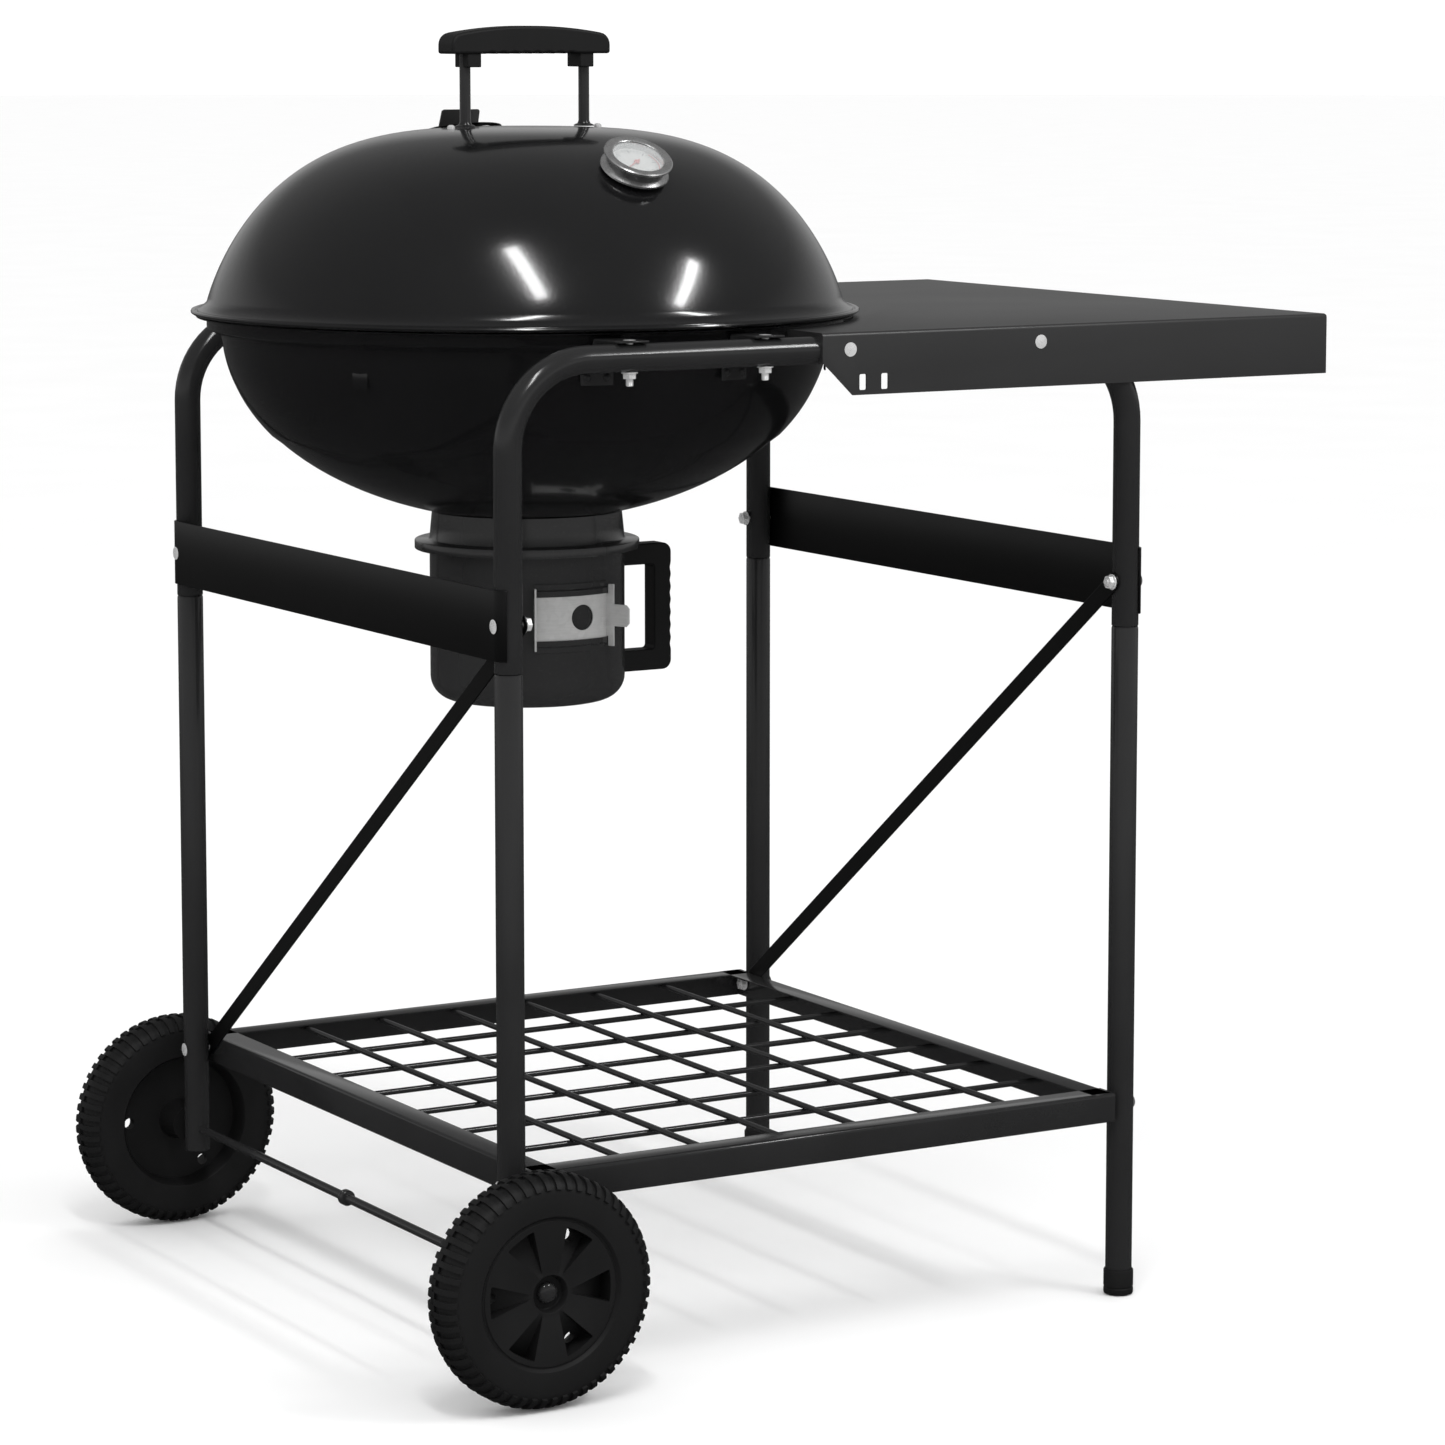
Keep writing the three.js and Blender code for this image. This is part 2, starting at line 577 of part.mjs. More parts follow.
// Hanger: a tab over the arch tube and a leg down the side of the bowl.
function hanger(x, sy) {
  const dx = x - KETTLE_X;
  const tabZ = TOP_TUBE_Z + TUBE_R + GAP;
  const wallR = bowlRadius(784) + GAP + 1.4;
  const faceY = -sqrt(wallR ** 2 - dx ** 2);
  const half = BRACKET.width / 2;
  const rimY = -sqrt((RIM.band + GAP) ** 2 - (Math.abs(dx) - half) ** 2);
  const tab = box([x - half, -LEG_Y - BRACKET.reach, tabZ], [x + half, rimY, tabZ + SHEET]);
  const rib = box([x - half, rimY - 4, BRACKET.low], [x + half, rimY, tabZ + SHEET]);
  const strap = box([x - half, rimY - 4, BRACKET.strap], [x + half, faceY + 12, BRACKET.strap + 3]);
  const block = box([x - half, rimY - 4, BRACKET.low], [x + half, faceY + 12, BRACKET.high]);
  const upTo = (r) => turned([[0, 700], [r, 700], [r, 820], [0, 820]], 96)
    .translate([KETTLE_X, 0, 0]);
  const clipped = block.intersect(upTo(wallR + 2)).add(strap).subtract(upTo(wallR));
  const hole = rod([x, -LEG_Y, tabZ - 5], [x, -LEG_Y, tabZ + 5], HOLE_R, 8);
  const body = cut(union([tab, rib, clipped]), [hole]);
  return sy < 0 ? body : body.mirror([0, 1, 0]);
}

for (const [end, sy] of SIDES) {
  BRACKET_XS.forEach((x, i) => {
    add(`${end}_hanger_${i + 1}`, hanger(x, sy), PAINT);
    const topZ = TOP_TUBE_Z + TUBE_R + SHEET + 2 * GAP;
    const grip = topZ - (TOP_TUBE_Z - TUBE_R - GAP);
    placeBolt(`${end}_hanger_bolt_${i + 1}`, bolt(grip, grip + 11, 5),
      [x, sy * LEG_Y, topZ], [0, 0, -1]);
  });
}

// ---- ash collar, pot and its damper -------------------------------------------------

function ashCollar() {
  const t = BOWL.wall;
  const z = COLLAR.z;
  const profile = [
    [COLLAR.rTop, COLLAR.top], [COLLAR.rLow, z], [COLLAR.flange, z], [COLLAR.flange, z - COLLAR.lip],
    [COLLAR.flange - t, z - COLLAR.lip], [COLLAR.flange - t, z - t],
    [COLLAR.rLow - t, z - t], [COLLAR.rTop - t, COLLAR.top],
  ];
  const skirt = turned(profile, 32);
  const side = [643.5, 646, 650, 656, 664].map((h) =>
    [BOWL.r * sqrt(1 - ((BOWL.z - h) / (BOWL.depth + GAP)) ** 2) + GAP, h]);
  const bowlSide = turned([[0, 641], ...side, [300, 900], [0, 900]], 48);
  return skirt.subtract(bowlSide);
}

add('ash_collar', ashCollar(), ENAMEL, kettle);

function ashPot() {
  const { r, top, bottom, corner, rim } = POT;
  const t = BOWL.wall;
  const base = arc(r - corner, bottom + corner, corner, -PI / 2, 0, 3);
  const inside = arc(r - corner, bottom + corner, corner - t, 0, -PI / 2, 3);
  const profile = [
    [0, bottom], ...base, [r, top - t], [rim, top - t], [rim, top], [r - t, top],
    ...inside, [0, bottom + t],
  ];
  const cup = turned(profile, 32);
  const low = DAMPER.z - DAMPER.height / 2;
  const high = DAMPER.z + DAMPER.height / 2;
  const guides = [
    frontSector(r - 0.6, GUIDE.outer, GUIDE.half, high + GAP, GUIDE.height),
    frontSector(r - 0.6, GUIDE.outer, GUIDE.half, low - GAP - GUIDE.height, GUIDE.height),
    frontSector(GUIDE.outer - 0.9, GUIDE.outer, GUIDE.half, high - GUIDE.lip, GUIDE.lip + 1),
    frontSector(GUIDE.outer - 0.9, GUIDE.outer, GUIDE.half, low - 1, GUIDE.lip + 1),
  ];
  const hole = rod([0, -r + 20, DAMPER.z], [0, -r - 20, DAMPER.z], DAMPER.hole, 12)
    .rotate([0, 0, AIR_HOLES.pot]);
  return cut(union([cup, ...guides]), [hole]);
}

// Curved slide with a hole, an upright fin at each end and a pull tab on the right one.
function potDamper() {
  const { z, half, height, r, hole, endHeight } = DAMPER;
  const t = 1.2;
  const plate = frontSector(r, r + t, half, z - height / 2, height, 8);
  const airHole = rod([0, -r + 20, z], [0, -r - 20, z], hole, 12).rotate([0, 0, AIR_HOLES.damper]);
  const webHalf = height / 2 - GUIDE.lip - GAP; // passes between the lips of the guides
  const fins = [-1, 1].map((side) => {
    const web = box([r + 0.2, -0.8, z - webHalf], [89.5, 0.8, z + webHalf]);
    const tall = box([GUIDE.outer + GAP, -0.8, z - endHeight / 2], [89.5, 0.8, z + endHeight / 2]);
    const pull = box([89, -0.8, z - 9], [105, 0.8, z + 9]);
    const parts = side > 0 ? [web, tall, pull] : [web, tall];
    return union(parts).rotate([0, 0, -90 + side * half * 180 / PI]);
  });
  return union([plate.subtract(airHole), ...fins]);
}

// Plastic D handle on the right of the pot.
function potHandle() {
  const { reach, low, high, depth, bar } = POT_HANDLE;
  const back = POT.r + 1.2;
  const round = 8;
  const outline = [
    [back, low], ...arc(reach - round, low + round, round, -PI / 2, 0, 4),
    ...arc(reach - round, high - round, round, 0, PI / 2, 4), [back, high],
  ];
  const window = new THREE.Path([
    [back + 4, low + bar + 1], [reach - bar, low + bar + 1],
    [reach - bar, high - bar - 1], [back + 4, high - bar - 1],
  ].map(([x, z]) => new THREE.Vector2(x, z)));
  return upright(outline, -depth / 2, depth, [window]);
}

add('ash_pot', ashPot(), ENAMEL, kettle);
add('pot_damper', potDamper(), ZINC, kettle);
add('pot_handle', potHandle(), PLASTIC, kettle);

// ---- lid and what it carries --------------------------------------------------------

const lidPoint = (t) => [LID.r * cos(t) ** LID.p, LID.z + LID.h * sin(t) ** LID.q];

// Height and outward normal of the dome at a distance from its axis.
function dome(r) {
  const t = Math.acos((r / LID.r) ** (1 / LID.p));
  const dr = -LID.r * LID.p * cos(t) ** (LID.p - 1) * sin(t);
  const dz = LID.h * LID.q * sin(t) ** (LID.q - 1) * cos(t);
  const length = hypot(dr, dz);
  return { z: lidPoint(t)[1], out: dz / length, up: -dr / length };
}

function lidShell() {
  const t = 1.2;
  const steps = 9;
  const start = Math.asin(((LID_FOOT_Z - LID.z) / LID.h) ** (1 / LID.q));
  const skin = Array.from({ length: steps }, (_, i) =>
    lidPoint(start + (PI / 2 - start) * i / steps));
  const apex = [0, LID.z + LID.h];
  const outer = [
    [LID.lip, LID.lipZ - 2], [LID.lip, LID.lipZ], [LID.lip - 4, LID.lipZ + 2], ...skin, apex,
  ];
  const inner = [[0, apex[1] - t], ...skin.slice().reverse().map(([r, z]) => {
    const { out, up } = dome(r);
    return [r - t * out, z - t * up];
  }), [LID.lip - 4, LID.lipZ + 2 - t], [LID.lip - t, LID.lipZ - 2]];
  return turned([...outer, ...inner], 32);
}

// Frame on the dome: local Z is the dome's normal, local X runs along world X.
function domeFrame(r, sy) {
  const { z, out, up } = dome(r);
  const group = new THREE.Group();
  group.position.set(0, sy * r, z);
  group.quaternion.setFromRotationMatrix(new THREE.Matrix4().makeBasis(
    new THREE.Vector3(1, 0, 0), new THREE.Vector3(0, up, -sy * out), new THREE.Vector3(0, sy * out, up)));
  kettle.add(group);
  group.updateMatrix();
  return group;
}

const gauge = domeFrame(GAUGE.r, -1);
const vent = domeFrame(VENT.r, 1);

function ventHoles(radius, z0, z1) {
  return Array.from({ length: VENT.holes }, (_, i) => {
    const angle = PI / 4 + i * 2 * PI / VENT.holes;
    const [x, y] = [VENT.pitch * cos(angle), VENT.pitch * sin(angle)];
    return rod([x, y, z0], [x, y, z1], radius, 10);
  });
}

function lid() {
  const tools = [
    ...ventHoles(VENT.hole, -25, 25).map((hole) => hole.transform(vent.matrix.toArray())),
    rod([0, 0, -25], [0, 0, 25], 2.6, 8).transform(vent.matrix.toArray()),
    rod([0, 0, -25], [0, 0, 25], GAUGE.stem + GAP, 10).transform(gauge.matrix.toArray()),
  ];
  return cut(lidShell(), tools);
}

add('lid', lid(), ENAMEL, kettle);

function handleGrip() {
  const { length, depth, low, ends, crown } = HANDLE;
  const half = length / 2;
  const rise = crown - ends;
  const radius = (half ** 2 + rise ** 2) / (2 * rise);
  const sweep = Math.asin((half - 9) / radius);
  const top = arc(0, crown - radius, radius, PI / 2 - sweep, PI / 2 + sweep, 8);
  const outline = [[-half, low], [half, low], [half, ends - 6], [half - 3.5, ends - 1], ...top,
    [-half + 3.5, ends - 1], [-half, ends - 6]];
  const bar = upright(outline, -depth / 2, depth);
  const sockets = [-1, 1].map((side) => box(
    [side * SOCKET.dx - SOCKET.x / 2, -SOCKET.y / 2, SOCKET.low],
    [side * SOCKET.dx + SOCKET.x / 2, SOCKET.y / 2, low + 1]));
  const bores = [-1, 1].map((side) =>
    rod([side * POSTS.dx, 0, SOCKET.low - 5], [side * POSTS.dx, 0, low + 3], POSTS.r + GAP, 12));
  const bosses = [-1, 1].map((side) =>
    rod([side * POSTS.dx, 0, SOCKET.low], [side * POSTS.dx, 0, low + 1], POSTS.r + 2, 16));
  return cut(union([bar, ...sockets, ...bosses]), bores);
}

add('lid_handle', handleGrip(), PLASTIC, kettle);
for (const [side, sx] of [['left', -1], ['right', 1]]) {
  const foot = dome(POSTS.dx - POSTS.r - 4).z + GAP;
  const x = sx * POSTS.dx;
  const post = rod([x, 0, foot], [x, 0, HANDLE.low + 3 - GAP], POSTS.r, 12)
    .add(rod([x, 0, foot], [x, 0, foot + 1.5], POSTS.r + 4, 12));
  add(`handle_post_${side}`, post, PAINT, kettle);
}

// Thermometer on the dome's normal: ring, neck, bezel, and a probe through the lid.
function gaugeCase() {
  const { ring, neck, height, recess, stem } = GAUGE;
  const profile = [
    [0, -30], [stem, -28], [stem, 0.8], [ring - 2, 0.8], [ring, 2], [ring - 1, 3.6],
    [neck, 4.4], [neck, height - 4], [ring, height - 3], [ring, height - 1],
    [ring - 1.5, height], [recess, height], [recess, height - 7], [0, height - 7],
  ];
  return turned(profile, 20);
}

add('thermometer', gaugeCase(), STEEL, gauge);
const dialZ = GAUGE.height - 7;
const hub = rod([0, 0, dialZ + GAP], [0, 0, dialZ + 2], 2.2, 10);
const pointer = box([-0.6, -5, dialZ + 0.8], [0.6, 16, dialZ + 1.6]);
const needle = add('thermometer_needle', hub.add(pointer), RED, gauge);
needle.rotation.z = 2.2; // at rest the needle points at the cold end of the scale
add('thermometer_glass', rod([0, 0, GAUGE.height - 2.4], [0, 0, GAUGE.height - 0.9],
  GAUGE.recess - GAP, 24), GLASS, gauge);

// Vent disc that turns on a rivet, with an upright tab to turn it by.
function ventDisc() {
  const disc = rod([0, 0, 1], [0, 0, 2.4], VENT.disc, 24);
  const tab = upright([[-20, 2], [17, 2], [20.5, 17], [19, 19], [-15, 19]], -0.8, 1.6);
  return cut(disc, [...ventHoles(VENT.hole, -5, 10), rod([0, 0, -5], [0, 0, 10], 3, 10)])
    .add(tab.translate([0, 8, 0]).subtract(rod([0, 0, -5], [0, 0, 6], 6.5, 10)));
}

add('lid_damper', ventDisc(), PAINT, vent);
add('damper_rivet', turned([
  [0, -5], [4.5, -5], [4.5, -3], [2.3, -3], [2.3, 2.8], [5.5, 2.8], [4, 4.6], [0, 5],
], 10), STEEL, vent);

export default grill;
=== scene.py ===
"""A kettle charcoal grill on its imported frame, each piece modelled at its place in metres."""
import math

import bpy
from bpy.props import FloatProperty, FloatVectorProperty, IntProperty, PointerProperty
from mathutils import Matrix, Vector


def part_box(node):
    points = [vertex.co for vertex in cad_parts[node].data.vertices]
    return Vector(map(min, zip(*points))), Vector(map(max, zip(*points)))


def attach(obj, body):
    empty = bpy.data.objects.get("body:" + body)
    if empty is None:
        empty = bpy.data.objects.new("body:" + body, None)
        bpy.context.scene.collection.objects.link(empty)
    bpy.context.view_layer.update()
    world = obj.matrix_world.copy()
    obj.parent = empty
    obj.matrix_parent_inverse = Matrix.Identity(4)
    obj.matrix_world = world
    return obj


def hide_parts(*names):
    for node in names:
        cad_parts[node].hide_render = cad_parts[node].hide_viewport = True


bl_info = {
    "name": "Kettle Grill",
    "version": (1, 0, 0),
    "blender": (4, 5, 0),
    "location": "View3D > Sidebar > Kettle Grill",
    "description": "Models a kettle charcoal grill and its cart piece by piece",
    "category": "Add Mesh",
}

MM = 0.001
GAP = 0.3 * MM
TURN = 2 * math.pi
SIDES = (("front", -1), ("back", 1))

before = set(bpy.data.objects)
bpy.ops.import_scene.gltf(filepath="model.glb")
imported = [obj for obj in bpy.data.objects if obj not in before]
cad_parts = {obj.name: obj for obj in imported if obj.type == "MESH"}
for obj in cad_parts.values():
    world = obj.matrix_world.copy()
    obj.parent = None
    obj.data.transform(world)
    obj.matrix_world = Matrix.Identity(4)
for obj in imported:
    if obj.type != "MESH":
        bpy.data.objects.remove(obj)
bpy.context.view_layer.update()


def low(node):
    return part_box(node)[0]


def high(node):
    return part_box(node)[1]


def middle(node):
    return (low(node) + high(node)) / 2


KETTLE = Vector((middle("kettle_bowl").x, 0, 0))
LEFT_X = middle("front_left_leg").x
RIGHT_X = middle("front_right_leg").x
LEG_Y = middle("back_left_leg").y
TUBE_TOP = high("front_arch_tube").z


# ---- sizes and colours a user would change ------------------------------------------


def length(name, text, default):
    return FloatProperty(name=name, description=text, default=default, min=0, unit="LENGTH")


def colour(name, text, value):
    return FloatVectorProperty(
        name=name, description=text, default=value, size=3, min=0, max=1, subtype="COLOR"
    )


class GrillSizes(bpy.types.PropertyGroup):
    tube_wall: length("Tube wall", "Wall of the cart's tube", 1.2 * MM)
    bend_radius: length("Bend radius", "Radius of the arch tubes' bends on the axis", 68 * MM)
    sheet: length("Sheet", "Thickness of the plates, rails and table", 1.5 * MM)
    enamel_wall: length("Kettle wall", "Thickness of the lid, bowl and ash pot", 1.2 * MM)
    wire_radius: length("Wire radius", "Radius of the shelf's wires", 2.5 * MM)
    bolt_head: length("Bolt head", "Radius of the domed bolt heads", 5.6 * MM)
    fold: length("Fold radius", "Outer radius of the folds in the table", 3 * MM)
    tread_depth: length("Tread depth", "Height of the ribs on the wheels", 2.1 * MM)
    tread_ribs: IntProperty(
        name="Tread ribs", description="Ribs round each row of a wheel", default=58, min=12
    )
    grate_bars: IntProperty(
        name="Grate bars", description="Bars of the cooking grate", default=25, min=5
    )
    dial_ticks: IntProperty(
        name="Dial ticks", description="Ticks on the thermometer's scale", default=31, min=5
    )


class GrillColours(bpy.types.PropertyGroup):
    enamel: colour("Enamel", "Gloss enamel of the kettle", (0.0048, 0.0048, 0.0051))
    pot: colour("Pot enamel", "Satin enamel of the ash pot", (0.021, 0.021, 0.0213))
    powder: colour("Powder coat", "Paint of the tubes and rails", (0.0155, 0.0155, 0.0158))
    # Plate colour: the plates and braces wear the tubes' black paint; this far darker colour is painted
    # shade, as they face away from the lights.
    plate: colour("Plate paint", "Deep black of the plates and braces", (0.002, 0.002, 0.0021))
    table: colour("Table coat", "Paint of the side table", (0.017, 0.017, 0.0173))
    plastic: colour("Plastic", "Moulded wheels, caps and grips", (0.0068, 0.0068, 0.007))
    zinc: colour("Zinc", "Plated damper", (0.52, 0.52, 0.515))
    steel: colour("Steel", "Bolts and thermometer", (0.72, 0.72, 0.72))
    # Dial colour: the face is white; this grey is painted shade from the deep recess it sits in.
    dial: colour("Dial", "Face of the thermometer", (0.36, 0.36, 0.35))
    needle: colour("Needle", "Needle and hot end of the scale", (0.3, 0.022, 0.016))


# ---- shader sums and finishes -------------------------------------------------------


class Flow:
    """A node's output that takes part in Python sums."""

    def __init__(self, tree, socket):
        self.tree = tree
        self.socket = socket

    def sum(self, operation, first, second):
        node = self.tree.nodes.new("ShaderNodeMath")
        node.operation = operation
        for socket, value in zip(node.inputs, (first, second)):
            feed(self.tree, socket, value)
        return Flow(self.tree, node.outputs[0])

    def __add__(self, other):
        return self.sum("ADD", self, other)

    def __rsub__(self, other):
        return self.sum("SUBTRACT", other, self)

    def __mul__(self, other):
        return self.sum("MULTIPLY", self, other)

    __radd__ = __add__
    __rmul__ = __mul__


def feed(tree, socket, value):
    if isinstance(value, Flow):
        tree.links.new(value.socket, socket)
    else:
        socket.default_value = value


def set_stops(ramp, stops):
    """Grey stops of a colour ramp, from lowest to highest."""
    for index, (position, value) in enumerate(stops):
        stop = ramp.elements[index] if index < 2 else ramp.elements.new(position)
        stop.position = position
        stop.color = (value, value, value, 1)


class Finish:
    """A material: one Principled shader and the pattern that feeds it."""

    def __init__(self, name, settings):
        self.material = bpy.data.materials.new(name)
        self.material.use_nodes = True
        self.tree = self.material.node_tree
        self.shader = self.tree.nodes["Principled BSDF"]
        for socket, value in settings.items():
            self.set(socket, value)
        self.place = self.node("ShaderNodeTexCoord", {}, {}, "Object")

    def set(self, socket, value):
        feed(self.tree, self.shader.inputs[socket], value)

    def node(self, kind, settings, sockets, output=0):
        node = self.tree.nodes.new(kind)
        for name, value in settings.items():
            if name == "stops":
                set_stops(node.color_ramp, value)
            else:
                setattr(node, name, value)
        for name, value in sockets.items():
            feed(self.tree, node.inputs[name], value)
        return Flow(self.tree, node.outputs[output])

    def noise(self, scale, detail=2.0, stretch=None):
        place = self.place
        if stretch:
            place = self.node("ShaderNodeMapping", {}, {"Vector": place, "Scale": stretch})
        return self.node(
            "ShaderNodeTexNoise", {}, {"Vector": place, "Scale": scale, "Detail": detail}
        )

    def cells(self, scale, output="Distance"):
        return self.node(
            "ShaderNodeTexVoronoi", {}, {"Vector": self.place, "Scale": scale}, output
        )

    def ramp(self, value, stops):
        return self.node("ShaderNodeValToRGB", {"stops": stops}, {"Fac": value})

    def shades(self, factor, base, dark, light):
        """Base Color between two shades of one colour."""
        mix = self.tree.nodes.new("ShaderNodeMix")
        mix.data_type = "RGBA"
        feed(self.tree, mix.inputs["Factor"], factor)
        mix.inputs["A"].default_value = (*(c * dark for c in base), 1)
        mix.inputs["B"].default_value = (*(min(1, c * light) for c in base), 1)
        colours = [s for s in mix.outputs if s.type == "RGBA"]
        self.set("Base Color", Flow(self.tree, colours[0]))

    def bump(self, height, strength, distance):
        sockets = {"Height": height, "Strength": strength, "Distance": distance}
        self.set("Normal", self.node("ShaderNodeBump", {}, sockets))


def gloss_enamel(name, base, haze):
    """Fired enamel: deep gloss, faint orange peel, a few dull specks of dust."""
    f = Finish(name, {"Specular IOR Level": 0.5, "Coat Weight": 0.25, "Coat Roughness": haze / 2})
    cloud = f.noise(9, 3)
    dust = f.noise(1400, 1)
    specks = f.ramp(dust, ((0.70, 0), (0.78, 1)))
    f.shades(cloud, base, 0.75, 1.3)
    f.set("Roughness", cloud * 0.07 + specks * 0.2 + haze)
    f.bump(f.noise(330, 2), 0.09, 0.25 * MM)
    return f.material


def powder_coat(name, base, specular, sheen):
    """Semi-gloss powder coat on tube and sheet, with its fine pebbled skin."""
    f = Finish(name, {"Specular IOR Level": specular})
    cloud = f.noise(16, 3)
    pebble = f.noise(1100, 2)
    f.shades(cloud * 0.6 + pebble * 0.4, base, 0.7, 1.35)
    f.set("Roughness", cloud * 0.1 + pebble * 0.06 + sheen)
    f.bump(pebble, 0.16, 0.1 * MM)
    return f.material


def table_coat(base):
    """Flat powder coat of the table: the same pebbled skin, duller."""
    f = Finish("table_coat", {"Specular IOR Level": 0.6})
    cloud = f.noise(6, 4)
    pebble = f.noise(950, 3)
    f.shades(cloud, base, 0.85, 1.2)
    f.set("Roughness", cloud * 0.08 + pebble * 0.08 + 0.3)
    f.bump(pebble, 0.3, 0.15 * MM)
    return f.material


def moulded_plastic(base):
    """Moulded black plastic with a fine spark-eroded grain and faint flow marks."""
    f = Finish("moulded_plastic", {"Specular IOR Level": 0.26})
    flow = f.noise(22, 3, (1, 1, 0.35))
    grain = f.cells(1500)
    f.shades(flow, base, 0.8, 1.4)
    f.set("Roughness", flow * 0.16 + 0.46)
    f.bump(grain, 0.25, 0.1 * MM)
    return f.material


def zinc_plate(base):
    """Dull zinc plate with its spangle and rolling marks."""
    f = Finish("zinc_plate", {"Metallic": 0.35})
    spangle = f.cells(210, "Color")
    rolled = f.noise(60, 3, (1, 1, 14))
    tone = spangle * 0.35 + rolled * 0.65
    f.shades(tone, base, 0.78, 1.12)
    f.set("Roughness", tone * 0.2 + 0.36)
    f.bump(rolled, 0.12, 0.08 * MM)
    return f.material


def bright_steel(name, base, metallic):
    """Bright plated steel with turning marks and a little haze."""
    f = Finish(name, {"Metallic": metallic})
    haze = f.noise(120, 3)
    marks = f.noise(700, 2, (1, 1, 5))
    f.shades(haze, base, 0.75, 1.15)
    f.set("Roughness", haze * 0.18 + marks * 0.06 + 0.16)
    f.bump(marks, 0.1, 0.05 * MM)
    return f.material


def grate_plate(base):
    """Plated grate wire, drawn along its length, a shade warmer than the bolts."""
    f = Finish("grate_plate", {"Metallic": 0.95})
    drawn = f.noise(180, 3, (1, 0.15, 1))
    f.shades(drawn, (base[0], base[1] * 0.985, base[2] * 0.95), 0.7, 1.05)
    f.set("Roughness", drawn * 0.22 + 0.2)
    f.bump(drawn, 0.15, 0.08 * MM)
    return f.material


def printed_paint(name, base):
    """Matte ink or paint on the dial and its needle."""
    f = Finish(name, {"Specular IOR Level": 0.4})
    mottle = f.noise(900, 2)
    f.shades(mottle, base, 0.9, 1.08)
    f.set("Roughness", mottle * 0.1 + 0.42)
    f.bump(mottle, 0.05, 0.05 * MM)
    return f.material


def clear_window():
    """Thin clear glass with a trace of smear on it."""
    f = Finish("clear_window", {"Base Color": (0.93, 0.96, 0.97, 1), "IOR": 1.5})
    smear = f.noise(70, 3)
    f.set("Roughness", smear * 0.05 + 0.015)
    f.set("Alpha", smear * 0.05 + 0.13)
    return f.material


finishes = {}


def make_finishes(colours):
    finishes.update(
        enamel=gloss_enamel("gloss_enamel", colours.enamel, 0.12),
        pot_enamel=gloss_enamel("satin_enamel", colours.pot, 0.18),
        black_paint=powder_coat("powder_coat", colours.powder, 0.44, 0.09),
        # Darker copy of the tubes' powder coat: painted shade on the plates, braces and vent damper.
        plate_paint=powder_coat("plate_paint", colours.plate, 0.32, 0.26),
        table_paint=table_coat(colours.table),
        black_plastic=moulded_plastic(colours.plastic),
        zinc=zinc_plate(colours.zinc),
        bolt_steel=bright_steel("bright_steel", colours.steel, 0.45),
        gauge_steel=bright_steel("gauge_steel", colours.steel, 1.0),
        grate_wire=grate_plate(colours.steel),
        clear_glass=clear_window(),
        needle_red=printed_paint("needle_red", colours.needle),
        # The white dial face coloured grey: painted shade of its recess.
        dial_white=printed_paint("dial_white", colours.dial),
        dial_ink=printed_paint("dial_ink", (0.01, 0.01, 0.01)),
    )


# ---- modelling by hand --------------------------------------------------------------


def put_down():
    """Leave edit mode and let go of everything."""
    if bpy.context.object and bpy.context.object.mode != "OBJECT":
        bpy.ops.object.mode_set(mode="OBJECT")
    bpy.ops.object.select_all(action="DESELECT")


def pick_up(obj):
    put_down()
    obj.select_set(True)
    bpy.context.view_layer.objects.active = obj
    return obj


def mm(points):
    """The same points in metres, given in millimetres."""
    return [tuple(value * MM for value in point) for point in points]


def take_all():
    bpy.ops.mesh.select_all(action="SELECT")


def extrude(step):
    bpy.ops.mesh.extrude_region_move(TRANSFORM_OT_translate={"value": step})


def close_outline():
    """Join the ends of a traced outline and fill it."""
    merge_doubles()
    bpy.ops.mesh.edge_face_add()


def merge_doubles():
    take_all()
    bpy.ops.mesh.remove_doubles(threshold=0.001 * MM)


def trace(points):
    """Start at the first point and extrude a line along the others; stays in edit mode."""
    put_down()
    bpy.ops.mesh.primitive_plane_add(size=MM, location=points[0])
    bpy.ops.object.mode_set(mode="EDIT")
    bpy.ops.mesh.select_mode(type="VERT")
    take_all()
    bpy.ops.mesh.merge(type="CENTER")
    for start, end in zip(points, points[1:]):
        extrude(Vector(end) - Vector(start))


def weld():
    """Join doubled points and turn every face outwards."""
    merge_doubles()
    bpy.ops.mesh.normals_make_consistent(inside=False)


def leave(name, angle=32):
    """End edit mode with the piece at the origin, smooth below an angle."""
    put_down()
    obj = bpy.context.view_layer.objects.active
    pick_up(obj)
    bpy.ops.object.transform_apply(location=True, rotation=True, scale=True)
    bpy.ops.object.shade_smooth_by_angle(angle=math.radians(angle))
    obj.name = obj.data.name = name
    return obj


def spun(name, outline, steps=96, start=0.0, sweep=TURN):
    """Turn an outline of (radius, height) points about the Z axis."""
    first = Vector((math.cos(start), math.sin(start), 0))
    points = [first * r + Vector((0, 0, z)) for r, z in outline]
    closed = outline[0][0] > 0
    trace(points + points[:1] if closed else points)
    merge_doubles()
    if sweep != TURN:
        bpy.ops.mesh.edge_face_add()
    take_all()
    bpy.ops.mesh.spin(steps=steps, angle=-sweep, center=(0, 0, 0), axis=(0, 0, 1))
    weld()
    return leave(name)


def slab(name, outline, depth):
    """Fill a flat outline and extrude it by a vector."""
    trace([*outline, outline[0]])
    close_outline()
    extrude(depth)
    weld()
    return leave(name)


def strip(name, line, depth, thickness, offset=0.0):
    """Extrude an open line by a vector and give it a sheet's thickness."""
    trace(line)
    take_all()
    extrude(depth)
    weld()
    obj = leave(name)
    return modify(obj, "SOLIDIFY", thickness=thickness, offset=offset, use_even_offset=True)


def block(name, low_corner, high_corner):
    """Box with its lowest and highest corner, cut from a cube."""
    a, b = Vector(low_corner), Vector(high_corner)
    put_down()
    bpy.ops.mesh.primitive_cube_add(size=1, location=(a + b) / 2, scale=b - a)
    return leave(name)


